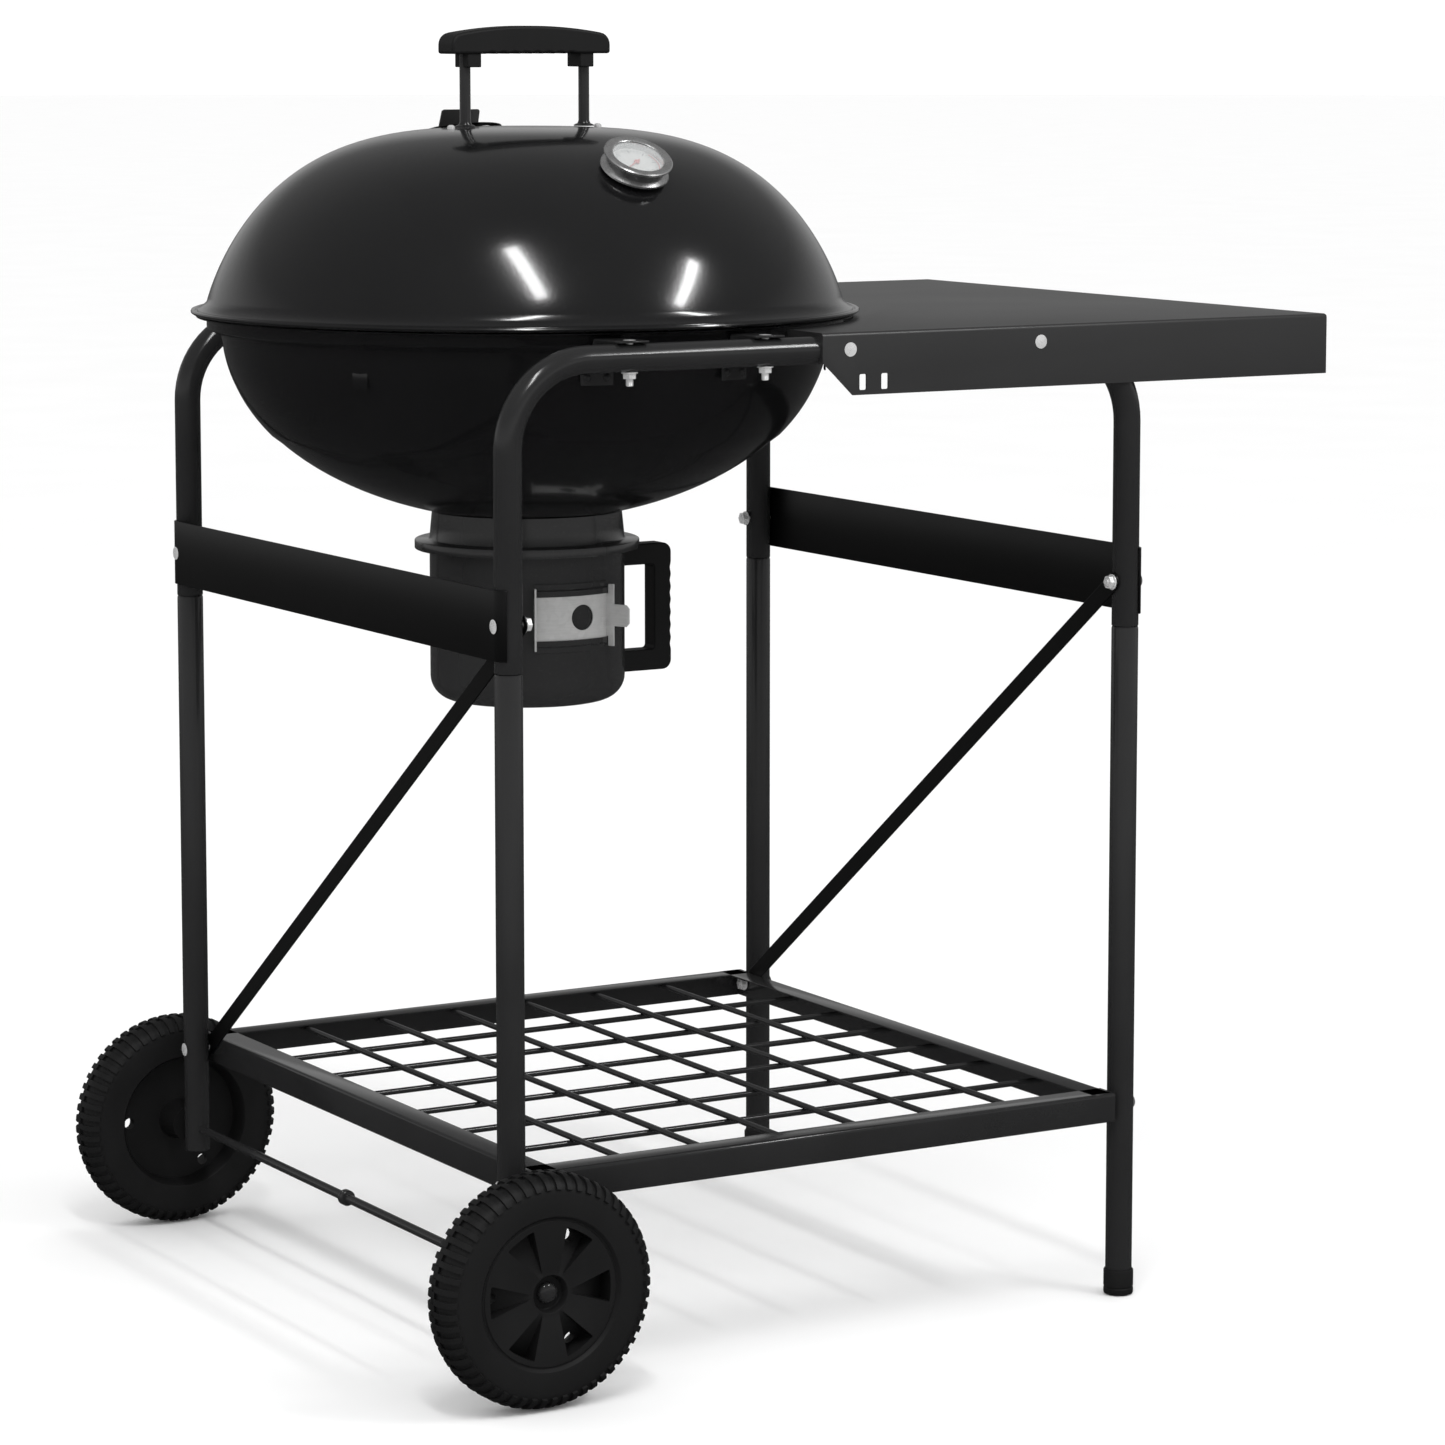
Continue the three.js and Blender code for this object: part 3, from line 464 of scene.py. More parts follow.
def round_bar(name, start, end, radius, sides=16, chamfer=0.3):
    """Round bar between two points: a ring extruded along, capped and chamfered."""
    a, b = Vector(start), Vector(end)
    turn = Vector((0, 0, 1)).rotation_difference(b - a).to_euler()
    put_down()
    bpy.ops.mesh.primitive_circle_add(
        vertices=sides, radius=radius, fill_type="NGON", location=a, rotation=turn
    )
    bpy.ops.object.mode_set(mode="EDIT")
    take_all()
    extrude(b - a)
    weld()
    obj = leave(name)
    if chamfer:
        soften(obj, radius * chamfer, 2, 60)
    return obj


def modify(obj, kind, **settings):
    """Add a modifier and apply it."""
    pick_up(obj)
    bpy.ops.object.modifier_add(type=kind)
    modifier = obj.modifiers[-1]
    for key, value in settings.items():
        setattr(modifier, key, value)
    bpy.ops.object.modifier_apply(modifier=modifier.name)
    return obj


def soften(obj, width, segments=2, angle=40):
    """Round the edges that are sharper than an angle."""
    limits = {"limit_method": "ANGLE", "angle_limit": math.radians(angle)}
    modify(obj, "BEVEL", width=width, segments=segments, **limits)
    pick_up(obj)
    bpy.ops.object.shade_smooth_by_angle(angle=math.radians(50))
    return obj


def carve(obj, tools, operation="DIFFERENCE"):
    """Cut the tools out of a piece, or join them to it, and put them away."""
    for tool in tools:
        modify(obj, "BOOLEAN", object=tool, operation=operation, solver="EXACT")
        bpy.data.objects.remove(tool)
    pick_up(obj)
    bpy.ops.object.shade_smooth_by_angle(angle=math.radians(32))
    return obj


def gather(name, pieces):
    """Join finished parts into one piece."""
    pick_up(pieces[0])
    for piece in pieces[1:]:
        piece.select_set(True)
    if len(pieces) > 1:
        bpy.ops.object.join()
    obj = bpy.context.view_layer.objects.active
    obj.name = obj.data.name = name
    return obj


def place(obj, matrix):
    """Move a piece and leave its object at the origin."""
    pick_up(obj)
    obj.matrix_world = matrix
    bpy.ops.object.transform_apply(location=True, rotation=True, scale=True)
    return obj


def copy_of(obj, name, matrix):
    """Another of the same piece, with its own mesh, somewhere else."""
    pick_up(obj)
    bpy.ops.object.duplicate()
    twin = bpy.context.view_layer.objects.active
    twin.name = twin.data.name = name
    return place(twin, matrix)


def deselect(obj, kind):
    """Leave no face, edge or point of a piece selected."""
    pick_up(obj)
    bpy.ops.object.mode_set(mode="EDIT")
    bpy.ops.mesh.select_mode(type=kind)
    bpy.ops.mesh.select_all(action="DESELECT")
    bpy.ops.object.mode_set(mode="OBJECT")


def select_faces(obj, wanted):
    """Enter edit mode with just the faces that a test picks."""
    deselect(obj, "FACE")
    for face in obj.data.polygons:
        face.select = wanted(face)
    bpy.ops.object.mode_set(mode="EDIT")


def select_edges(obj, wanted):
    """Enter edit mode with just the edges whose two ends pass a test."""
    deselect(obj, "EDGE")
    for edge in obj.data.edges:
        edge.select = wanted(*(obj.data.vertices[i].co for i in edge.vertices))
    bpy.ops.object.mode_set(mode="EDIT")


def facing(direction):
    """Turn that brings a piece made along Z into a direction."""
    return Vector((0, 0, 1)).rotation_difference(direction).to_matrix().to_4x4()


def finished(obj, slot, body, *nodes, finish=None):
    """Give a piece its finish and its body, and let it stand for its CAD nodes."""
    obj.data.materials.clear()
    obj.data.materials.append(finishes[finish or slot])
    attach(obj, body)
    if nodes:
        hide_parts(*nodes)
    return obj


def arc(centre, radius, start, end, steps):
    """Points of an arc in a plane, angles in degrees."""
    angles = [math.radians(start + (end - start) * i / steps) for i in range(steps + 1)]
    return [(centre[0] + radius * math.cos(a), centre[1] + radius * math.sin(a)) for a in angles]


CART = "cart_and_bowl"


# ---- cart ---------------------------------------------------------------------------


def arch_tube(name, y, sizes):
    """One bent tube: up, over a bend, level, over a bend and down."""
    radius = (high("front_arch_tube").y - low("front_arch_tube").y) / 2
    foot_z = low("front_arch_tube").z
    bend = sizes.bend_radius
    axis_z = TUBE_TOP - radius
    rise = axis_z - bend - foot_z
    run = RIGHT_X - LEFT_X - 2 * bend
    put_down()
    bpy.ops.mesh.primitive_circle_add(vertices=32, radius=radius, location=(LEFT_X, y, foot_z))
    bpy.ops.object.mode_set(mode="EDIT")
    take_all()
    extrude((0, 0, rise))
    left_bend = (LEFT_X + bend, y, axis_z - bend)
    bpy.ops.mesh.spin(steps=16, angle=-math.pi / 2, center=left_bend, axis=(0, 1, 0))
    extrude((run, 0, 0))
    right_bend = (RIGHT_X - bend, y, axis_z - bend)
    bpy.ops.mesh.spin(steps=16, angle=-math.pi / 2, center=right_bend, axis=(0, 1, 0))
    extrude((0, 0, -rise))
    weld()
    obj = leave(name)
    modify(obj, "SOLIDIFY", thickness=sizes.tube_wall, offset=-1, use_even_offset=True)
    return soften(obj, 0.4 * MM, 2, 60)


class GRILL_OT_arch_tubes(bpy.types.Operator):
    """Bend the two arch tubes"""

    bl_idname = "grill.arch_tubes"
    bl_label = "Arch tubes"

    def execute(self, context):
        for end, side in SIDES:
            tube = arch_tube(f"{end}_arch", side * LEG_Y, context.scene.grill_sizes)
            finished(tube, "black_paint", CART, f"{end}_arch_tube")
        return {"FINISHED"}


class GRILL_OT_legs(bpy.types.Operator):
    """Turn the four lower legs with their swaged ends, and the two foot caps"""

    bl_idname = "grill.legs"
    bl_label = "Legs and feet"

    def execute(self, context):
        wall = context.scene.grill_sizes.tube_wall
        joint = low("front_arch_tube").z - GAP
        for end, side in SIDES:
            for hand, x in (("left", LEFT_X), ("right", RIGHT_X)):
                node = f"{end}_{hand}_leg"
                bottom, top = low(node).z, high(node).z
                tube = high(node).y - middle(node).y
                outline = [
                    (tube - wall, bottom), (tube - 0.4 * MM, bottom), (tube, bottom + 0.5 * MM),
                    (tube, joint - 1.6 * MM), (tube - 0.5 * MM, joint - 0.3 * MM),
                    (tube - 1.6 * MM, joint),
                    (tube - 1.6 * MM, top - 2 * MM), (tube - 2.2 * MM, top),
                    (tube - 2.8 * MM, top), (tube - 2.8 * MM, joint - 8 * MM),
                    (tube - wall, joint - 12 * MM),
                ]
                at = Matrix.Translation((x, side * LEG_Y, 0))
                leg = place(spun(f"{node}_tube", outline, 32), at)
                finished(leg, "black_paint", CART, node)
            self.foot(end, side)
        return {"FINISHED"}

    def foot(self, end, side):
        node = f"{end}_right_foot"
        radius = (high(node).x - low(node).x) / 2
        top = high(node).z
        outline = [
            (0, 0.6 * MM), (radius - 5 * MM, 0.6 * MM), (radius - 4.4 * MM, 0),
            (radius - 1.6 * MM, 0), (radius - 0.4 * MM, 0.5 * MM), (radius, 1.8 * MM),
            (radius, 5 * MM), (radius - 0.5 * MM, 5.5 * MM), (radius - 0.5 * MM, 6.5 * MM),
            (radius, 7 * MM), (radius, top - 1.2 * MM), (radius - 0.5 * MM, top),
            (radius - 1 * MM, top), (radius - 1 * MM, 3 * MM), (0, 3 * MM),
        ]
        at = Matrix.Translation((RIGHT_X, side * LEG_Y, 0))
        foot = place(spun(f"{end}_foot_cap", outline, 48), at)
        finished(foot, "black_plastic", CART, node)


class GRILL_OT_cross_plates(bpy.types.Operator):
    """Roll the two wide plates round the legs they tie together"""

    bl_idname = "grill.cross_plates"
    bl_label = "Cross plates"

    def execute(self, context):
        sheet = context.scene.grill_sizes.sheet
        for hand, x, out in (("left", LEFT_X, -1), ("right", RIGHT_X, 1)):
            node = f"{hand}_cross_plate"
            bottom, top = low(node).z, high(node).z
            curl = (high(node).x - x if out > 0 else x - low(node).x) - sheet / 2
            ends = arc((0, LEG_Y), curl, 57, 0, 8)
            line = [(x + out * dx, y, bottom) for dx, y in ends]
            line += [(px, -py, pz) for px, py, pz in reversed(line)]
            plate = strip(f"{hand}_tie_plate", line, (0, 0, top - bottom), sheet)
            soften(plate, 0.35 * MM, 2, 60)
            # Darker copy of the black paint: painted shade on the tie plate.
            finished(plate, "black_paint", CART, node, finish="plate_paint")
        return {"FINISHED"}


class GRILL_OT_braces(bpy.types.Operator):
    """Cut the two flat diagonal braces with round ends"""

    bl_idname = "grill.braces"
    bl_label = "Braces"

    def execute(self, context):
        half = 7.5 * MM
        sheet = context.scene.grill_sizes.sheet
        for hand in ("left", "right"):
            node = f"{hand}_brace"
            start = Vector((0, low(node).y + half, high(node).z - half))
            end = Vector((0, high(node).y - half, low(node).z + half))
            tilt = math.degrees(math.atan2(end.z - start.z, end.y - start.y))
            outline = arc((start.y, start.z), half, tilt + 90, tilt + 270, 12)
            outline += arc((end.y, end.z), half, tilt - 90, tilt + 90, 12)
            points = [(low(node).x, y, z) for y, z in outline]
            bar = slab(f"{hand}_brace_bar", points, (sheet, 0, 0))
            soften(bar, 0.4 * MM, 2, 60)
            # Darker copy of the black paint: painted shade on the brace.
            finished(bar, "black_paint", CART, node, finish="plate_paint")
        return {"FINISHED"}


HEAD_HEIGHT = 3.6 * MM


def bolt_along_z(name, grip, tip, head):
    """Domed head under z = 0, threaded shank up to the tip, nut and washer on it."""
    pitch = 1.0 * MM
    core = 2.7 * MM
    crest = 3.0 * MM
    dome_head = ((2, -3.5), (3.6, -2.9), (4.9, -1.8), (5.6, -0.4))
    outline = [(0, -HEAD_HEIGHT)]
    outline += [(r * MM * head / 5.6, z * MM) for r, z in dome_head]
    outline += [(head, 0), (crest, 0)]
    turns = int((tip - grip - 6 * MM) / pitch)
    thread = grip + 5.4 * MM
    outline.append((crest, thread))
    for i in range(turns):
        outline += [(core, thread + (i + 0.3) * pitch), (crest, thread + (i + 0.8) * pitch)]
    outline += [(core, tip - 0.5 * MM), (core - 0.7 * MM, tip), (0, tip)]
    shank = spun(name, outline, 24)
    bore, edge, seat = crest + 0.1 * MM, 6.4 * MM, grip + 1 * MM
    washer = spun("washer", [(bore, grip), (edge, grip), (edge, seat), (bore, seat)], 24)
    soften(washer, 0.2 * MM, 1)
    nut = round_bar("nut", (0, 0, seat), (0, 0, grip + 5.2 * MM), 5.6 * MM, 6, 0)
    soften(nut, 0.5 * MM, 2)
    return gather(name, [shank, washer, nut])


class GRILL_OT_bolts(bpy.types.Operator):
    """Turn one bolt of each length and fit it wherever the cart has one"""

    bl_idname = "grill.bolts"
    bl_label = "Bolts"

    def execute(self, context):
        head = context.scene.grill_sizes.bolt_head
        frame_bolt = bolt_along_z("frame_bolt", 26.2 * MM, 32.7 * MM, head)
        table_bolt = bolt_along_z("table_bolt", 24.6 * MM, 31.1 * MM, head)
        hanger_bolt = bolt_along_z("hanger_bolt", 24.4 * MM, 35.4 * MM, 5 * MM)
        for end, side in SIDES:
            for hand, inward in (("left", 1), ("right", -1)):
                for kind in ("plate", "shelf"):
                    self.fit(frame_bolt, f"{end}_{hand}_{kind}_bolt", Vector((inward, 0, 0)))
            for number in (1, 2):
                self.fit(table_bolt, f"{end}_table_bolt_{number}", Vector((0, -side, 0)))
                self.fit(hanger_bolt, f"{end}_hanger_bolt_{number}", Vector((0, 0, -1)))
        for pattern in (frame_bolt, table_bolt, hanger_bolt):
            bpy.data.objects.remove(pattern)
        return {"FINISHED"}

    def fit(self, pattern, node, direction):
        size = high(node) - low(node)
        reach = abs(size.dot(direction))
        seat = middle(node) - direction * (reach / 2 - HEAD_HEIGHT)
        at = Matrix.Translation(seat) @ facing(direction)
        bolt = copy_of(pattern, f"{node}_set", at)
        finished(bolt, "bolt_steel", CART, node)


# ---- shelf --------------------------------------------------------------------------


class GRILL_OT_shelf_rails(bpy.types.Operator):
    """Fold the four angle rails of the shelf"""

    bl_idname = "grill.shelf_rails"
    bl_label = "Shelf rails"

    def execute(self, context):
        sheet = context.scene.grill_sizes.sheet
        rails = (("front", 1, -1), ("back", 1, 1), ("left", 0, -1), ("right", 0, 1))
        for side_name, axis, outward in rails:
            node = f"shelf_{side_name}_rail"
            a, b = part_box(node)
            outer = (b[axis] if outward > 0 else a[axis]) - outward * sheet / 2
            inner = a[axis] if outward > 0 else b[axis]
            fold = 2.2 * MM
            top = b.z - sheet / 2
            bend = arc((0, 0), fold, 0, 90, 5)
            section = [(outer, a.z)]
            section += [(outer - outward * (fold - du), top - fold + dz) for du, dz in bend]
            section.append((inner, top))
            run = b[1 - axis] - a[1 - axis]
            if axis == 1:
                line, along = [(a.x, y, z) for y, z in section], (run, 0, 0)
            else:
                line, along = [(x, a.y, z) for x, z in section], (0, run, 0)
            rail = strip(f"shelf_{side_name}_angle", line, along, sheet)
            finished(soften(rail, 0.3 * MM, 2, 60), "black_paint", CART, node)
        return {"FINISHED"}


class GRILL_OT_shelf_wires(bpy.types.Operator):
    """Lay the shelf's wires both ways and press them together where they cross"""

    bl_idname = "grill.shelf_wires"
    bl_label = "Shelf wires"

    def execute(self, context):
        a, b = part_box("shelf_wire_mesh")
        radius = context.scene.grill_sizes.wire_radius
        centre = (a + b) / 2
        upper, lower = b.z - radius, a.z + radius
        across, along = 79 * MM, 72.5 * MM
        wires = []
        for i in range(6):
            y = centre.y + (i - 2.5) * across
            wires.append(round_bar("wire", (a.x, y, lower), (b.x, y, lower), radius))
            x = centre.x + (i - 2.5) * along
            wires.append(round_bar("wire", (x, a.y, upper), (x, b.y, upper), radius))
        mesh = gather("shelf_wires", wires)
        finished(mesh, "black_paint", CART, "shelf_wire_mesh")
        return {"FINISHED"}


# ---- side table ---------------------------------------------------------------------


class GRILL_OT_side_table(bpy.types.Operator):
    """Fold the side table from one sheet and cut its round edge and slots"""

    bl_idname = "grill.side_table"
    bl_label = "Side table"

    def execute(self, context):
        sizes = context.scene.grill_sizes
        a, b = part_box("side_table")
        skirt = b.z - a.z
        chamfer = Vector((28 * MM, 0, 23.5 * MM))
        outline = [
            (a.x, a.y, b.z), (a.x + chamfer.x, a.y, b.z), (b.x, a.y, b.z),
            (b.x, b.y, b.z), (a.x + chamfer.x, b.y, b.z), (a.x, b.y, b.z),
        ]
        trace([*outline, outline[0]])
        weld()
        bpy.ops.mesh.edge_face_add()
        table = leave("table_sheet")
        self.fold_down(table, a, b, skirt, chamfer)
        self.round_folds(table, a, b, sizes.fold)
        modify(table, "SOLIDIFY", thickness=sizes.sheet, offset=-1, use_even_offset=True)
        cut_radius = 269 * MM
        foot = KETTLE + Vector((0, 0, a.z - 0.1))
        head = KETTLE + Vector((0, 0, b.z + 0.1))
        tools = [round_bar("cutter", foot, head, cut_radius, 160, 0)]
        for x in (-23.3 * MM, -3.1 * MM):
            slot_low = (x - 3.25 * MM, a.y - 0.01, 763.8 * MM)
            slot_high = (x + 3.25 * MM, a.y + 0.01, 776.3 * MM)
            slot = block("cutter", slot_low, slot_high)
            tools.append(soften(slot, 1.2 * MM, 3))
        carve(table, tools)
        soften(table, 0.35 * MM, 2, 60)
        finished(table, "table_paint", CART, "side_table")
        return {"FINISHED"}

    def fold_down(self, table, a, b, skirt, chamfer):
        """Extrude the edges down, the cut side's too, then raise that side's lower edge."""
        pick_up(table)
        for edge in table.data.edges:
            ends = [table.data.vertices[i].co for i in edge.vertices]
            edge.select = not all(abs(p.x - a.x) < MM for p in ends)
        for face in table.data.polygons:
            face.select = False
        bpy.ops.object.mode_set(mode="EDIT")
        bpy.ops.mesh.select_mode(type="EDGE")
        bpy.ops.object.mode_set(mode="OBJECT")
        for edge in table.data.edges:
            ends = [table.data.vertices[i].co for i in edge.vertices]
            edge.select = not all(abs(p.x - a.x) < MM for p in ends)
        bpy.ops.object.mode_set(mode="EDIT")
        bpy.ops.mesh.extrude_edges_move(TRANSFORM_OT_translate={"value": (0, 0, -skirt)})
        weld()
        put_down()
        for vertex in table.data.vertices:
            if abs(vertex.co.x - a.x) < MM and vertex.co.z < b.z - MM:
                vertex.co.z = b.z - chamfer.z

    def round_folds(self, table, a, b, fold):
        """Bevel the edges between the top and its skirts, and the two outer corners."""

        def is_fold(p, q):
            on_cut_side = abs(p.x - a.x) < MM and abs(q.x - a.x) < MM
            along_top = min(p.z, q.z) > b.z - MM and not on_cut_side
            corner = abs(p.z - q.z) > MM and min(p.x, q.x) > b.x - MM
            return along_top or corner

        select_edges(table, is_fold)
        bpy.ops.mesh.bevel(offset=fold, segments=4, affect="EDGES")
        weld()
        leave("table_sheet")


# ---- wheels and axle ----------------------------------------------------------------


TYRE_HALF = 19.5 * MM
CROWN = 82 * MM
TREAD_LIMIT = 91.5 * MM
HOLE_AT = 46 * MM


class GRILL_OT_wheels(bpy.types.Operator):
    """Turn one wheel, raise its tread, cut its pockets, and fit it at both ends"""

    bl_idname = "grill.wheels"
    bl_label = "Wheels"

    def execute(self, context):
        sizes = context.scene.grill_sizes
        wheel = self.tyre(sizes)
        self.raise_tread(wheel, sizes)
        soften(wheel, 0.9 * MM, 2, 50)
        carve(wheel, self.pockets())
        centre = middle("front_wheel")
        for end, side in SIDES:
            node = f"{end}_wheel"
            outer = low(node).y if side < 0 else high(node).y
            at = Vector((LEFT_X, outer - side * TYRE_HALF, centre.z))
            turn = Matrix.Rotation(side * math.pi / 2, 4, "X")
            twin = copy_of(wheel, f"{end}_wheel_moulding", Matrix.Translation(at) @ turn)
            finished(twin, "black_plastic", f"{end}_wheel_body", node)
        bpy.data.objects.remove(wheel)
        return {"FINISHED"}

    def tyre(self, sizes):
        """Wheel about Z with its outer face towards -Z."""
        radius = (high("front_wheel").z - low("front_wheel").z) / 2 - sizes.tread_depth
        r = radius / MM
        outline = [
            (4.3, -10), (7.5, -10), (8.2, -9.2), (12.6, -9.2), (13.4, -10), (14.4, -16), (15, -17),
            (19, -17), (20, -17.4), (56.4, -17.4), (57.2, -16.6), (58.2, -16.6), (59, -17.6),
            (60.5, -19.3), (64, -19.5), (77, -19.5), (80.5, -18.6), (83.8, -16.9), (86.4, -14.2),
            (r - 1.2, -10.6), (r, -6.4), (r, -0.5), (r - 0.9, 0), (r, 0.5), (r, 6.4),
            (r - 1.2, 10.6), (86.4, 14.2), (83.8, 16.9), (80.5, 18.6), (77, 19.5), (64, 19.5),
            (58, 19.5), (56, 17), (53.4, 4), (18, 4), (16, 12), (15.4, 29.5), (4.3, 29.5),
        ]
        return spun("wheel", mm(outline), 2 * sizes.tread_ribs)

    def raise_tread(self, wheel, sizes):
        """Raise every other block of the crown, the two rows half a rib apart."""
        step = TURN / (2 * sizes.tread_ribs)

        def is_rib(face):
            c = face.center
            if math.hypot(c.x, c.y) < CROWN or abs(face.normal.z) > 0.93:
                return False
            number = int((math.atan2(c.y, c.x) % TURN) / step)
            return number % 2 == (0 if c.z < 0 else 1)

        select_faces(wheel, is_rib)
        bpy.ops.mesh.extrude_region_shrink_fatten(
            TRANSFORM_OT_shrink_fatten={"value": sizes.tread_depth, "use_even_offset": False}
        )
        leave("wheel", 40)
        for vertex in wheel.data.vertices:
            reach = math.hypot(vertex.co.x, vertex.co.y)
            if reach > TREAD_LIMIT:
                vertex.co.x *= TREAD_LIMIT / reach
                vertex.co.y *= TREAD_LIMIT / reach

    def pockets(self):
        """Six wedge pockets in the disc, every other one pierced at its outer end."""
        tools = []
        upper = [(52, 0), (51.8, 7), (51, 12.2), (50, 12.5), (17, 1.6)]
        wedge = [(x, -y) for x, y in reversed(upper[1:])] + upper
        for i in range(6):
            turn = Matrix.Rotation(TURN * i / 6, 4, "Z")
            pocket = slab("cutter", mm([(x, y, -22) for x, y in wedge]), (0, 0, 5 * MM))
            for vertex in pocket.data.vertices:
                if vertex.co.z > -20 * MM:
                    vertex.co.z = (-17.3 + 16.5 * (vertex.co.x / MM - 17) / 35) * MM
            tools.append(place(pocket, turn))
            if i % 2:
                start, end = (HOLE_AT, 0, -0.03), (HOLE_AT, 0, 0.03)
                hole = round_bar("cutter", start, end, 4.8 * MM, 20, 0)
                tools.append(place(hole, turn))
        return tools


class GRILL_OT_axle(bpy.types.Operator):
    """Turn the axle rod with its crimped collar and pressed end caps"""

    bl_idname = "grill.axle"
    bl_label = "Axle"

    def execute(self, context):
        a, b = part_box("axle")
        centre = middle("axle")
        end = b.y
        rod = 3.75 * MM
        cap = [(8, 5.2), (8, 3.4), (7.4, 2.1), (6, 1), (3.6, 0.25), (0, 0)]
        far = [(r * MM, end - drop * MM) for r, drop in cap]
        right = [(5.9, 0), (6.5, 0.6), (6.5, 3), (5.6, 4), (3.75, 4.4)]
        crimp = [(r, -y) for r, y in reversed(right[1:])] + right
        collar = [(r * MM, (y - 3) * MM) for r, y in crimp]
        outline = [(r, -y) for r, y in reversed(far)] + [(rod, -end + 5.2 * MM)]
        outline += collar + [(rod, end - 5.2 * MM)] + far
        turn = Matrix.Translation((centre.x, 0, centre.z)) @ Matrix.Rotation(-math.pi / 2, 4, "X")
        axle = place(spun("axle_rod", outline, 32), turn)
        finished(axle, "black_paint", CART, "axle")
        return {"FINISHED"}


# ---- kettle -------------------------------------------------------------------------

RIM_Z = 801 * MM
STEP_Z = 713 * MM
BOWL_RADIUS = 249 * MM
BOWL_DEPTH = 158.2 * MM
DOME_RADIUS = 265.1 * MM
DOME_RISE = 163.8 * MM
DOME_SIDE = 0.597
DOME_CROWN = 1.353


def bowl_radius(z):
    """Outside radius of the bowl's wall, an ellipse with a pressed step in it."""
    bulge = max(0.0, 1.6 * MM * (1 - (z - STEP_Z) / (40 * MM))) if z > STEP_Z else 0.0
    return BOWL_RADIUS * math.sqrt(1 - ((RIM_Z - z) / BOWL_DEPTH) ** 2) + bulge


def lid_point(t):
    """Distance from the axis and height of the dome, t from 0 at its foot to a right angle."""
    return DOME_RADIUS * math.cos(t) ** DOME_SIDE, RIM_Z + DOME_RISE * math.sin(t) ** DOME_CROWN


def dome(radius):
    """Height and unit normal (outward, upward) of the lid at a distance from its axis."""
    t = math.acos((radius / DOME_RADIUS) ** (1 / DOME_SIDE))
    slope = Vector((
        -DOME_SIDE * DOME_RADIUS * math.cos(t) ** (DOME_SIDE - 1) * math.sin(t),
        DOME_CROWN * DOME_RISE * math.sin(t) ** (DOME_CROWN - 1) * math.cos(t),
    )).normalized()
    return lid_point(t)[1], Vector((slope.y, -slope.x))


def dome_frame(radius, side):
    """Frame on the lid whose Z is the dome's normal and whose X is the row's X."""
    z, normal = dome(radius)
    up = Vector((0, side * normal.x, normal.y))
    right = Vector((1, 0, 0))
    ahead = up.cross(right)
    matrix = Matrix((right, ahead, up)).transposed().to_4x4()
    matrix.translation = KETTLE + Vector((0, side * radius, z))
    return matrix


def on_kettle(obj):
    return place(obj, Matrix.Translation(KETTLE))


class GRILL_OT_bowl(bpy.types.Operator):
    """Spin the bowl with its rim band, pressed step and grate tabs"""

    bl_idname = "grill.bowl"
    bl_label = "Bowl"

    def execute(self, context):
        wall = context.scene.grill_sizes.enamel_wall
        mouth = low("kettle_bowl").z
        levels = [mouth + (STEP_Z - 5 * MM - mouth) * (i / 16) ** 1.25 for i in range(17)]
        levels += [STEP_Z + 1.2 * MM + (795 * MM - STEP_Z) * i / 18 for i in range(18)]
        skin = [(bowl_radius(z), z) for z in levels]
        outer = skin + mm([
            (249.6, 796.2), (249.9, 797), (251.5, 797.8), (259.4, 801.2), (260.7, 802.2),
            (261, 803.6), (261, 808.8), (261.8, 810.2), (264, 811), (268, 811.1),
            (269.6, 811.5), (270, 812.3),
        ])
        inner = mm([
            (269.4, 812.8), (266, 812.7), (262.5, 812.2), (260.3, 811), (259.8, 809),
            (259.8, 804), (259, 802.6), (251.5, 799.4), (249, 798.4),
        ])
        inner += [(r - wall, z + wall * 0.4) for r, z in reversed(skin[1:])]
        inner.append((skin[0][0], mouth + wall * 1.2))
        bowl = on_kettle(spun("bowl_shell", outer + inner, 144))
        finished(bowl, "enamel", CART, "kettle_bowl")
        for number, degrees in enumerate((90, 210, 330), 1):
            self.tab(f"grate_tab_{number}", math.radians(degrees))
        return {"FINISHED"}

    def tab(self, name, angle):
        """Folded ledge welded inside the wall for the cooking grate."""
        top = low("cooking_grate").z
        reach = bowl_radius(top) - 1.5 * MM
        half, shelf = 7 * MM, top - 1 * MM
        line = [(reach, -half, top - 16 * MM), (reach, -half, shelf), (reach - 18 * MM, -half, shelf)]
        ledge = soften(strip(name, line, (0, 2 * half, 0), 1.5 * MM), 0.4 * MM, 2, 60)
        place(ledge, Matrix.Translation(KETTLE) @ Matrix.Rotation(angle, 4, "Z"))
        finished(ledge, "enamel", CART)


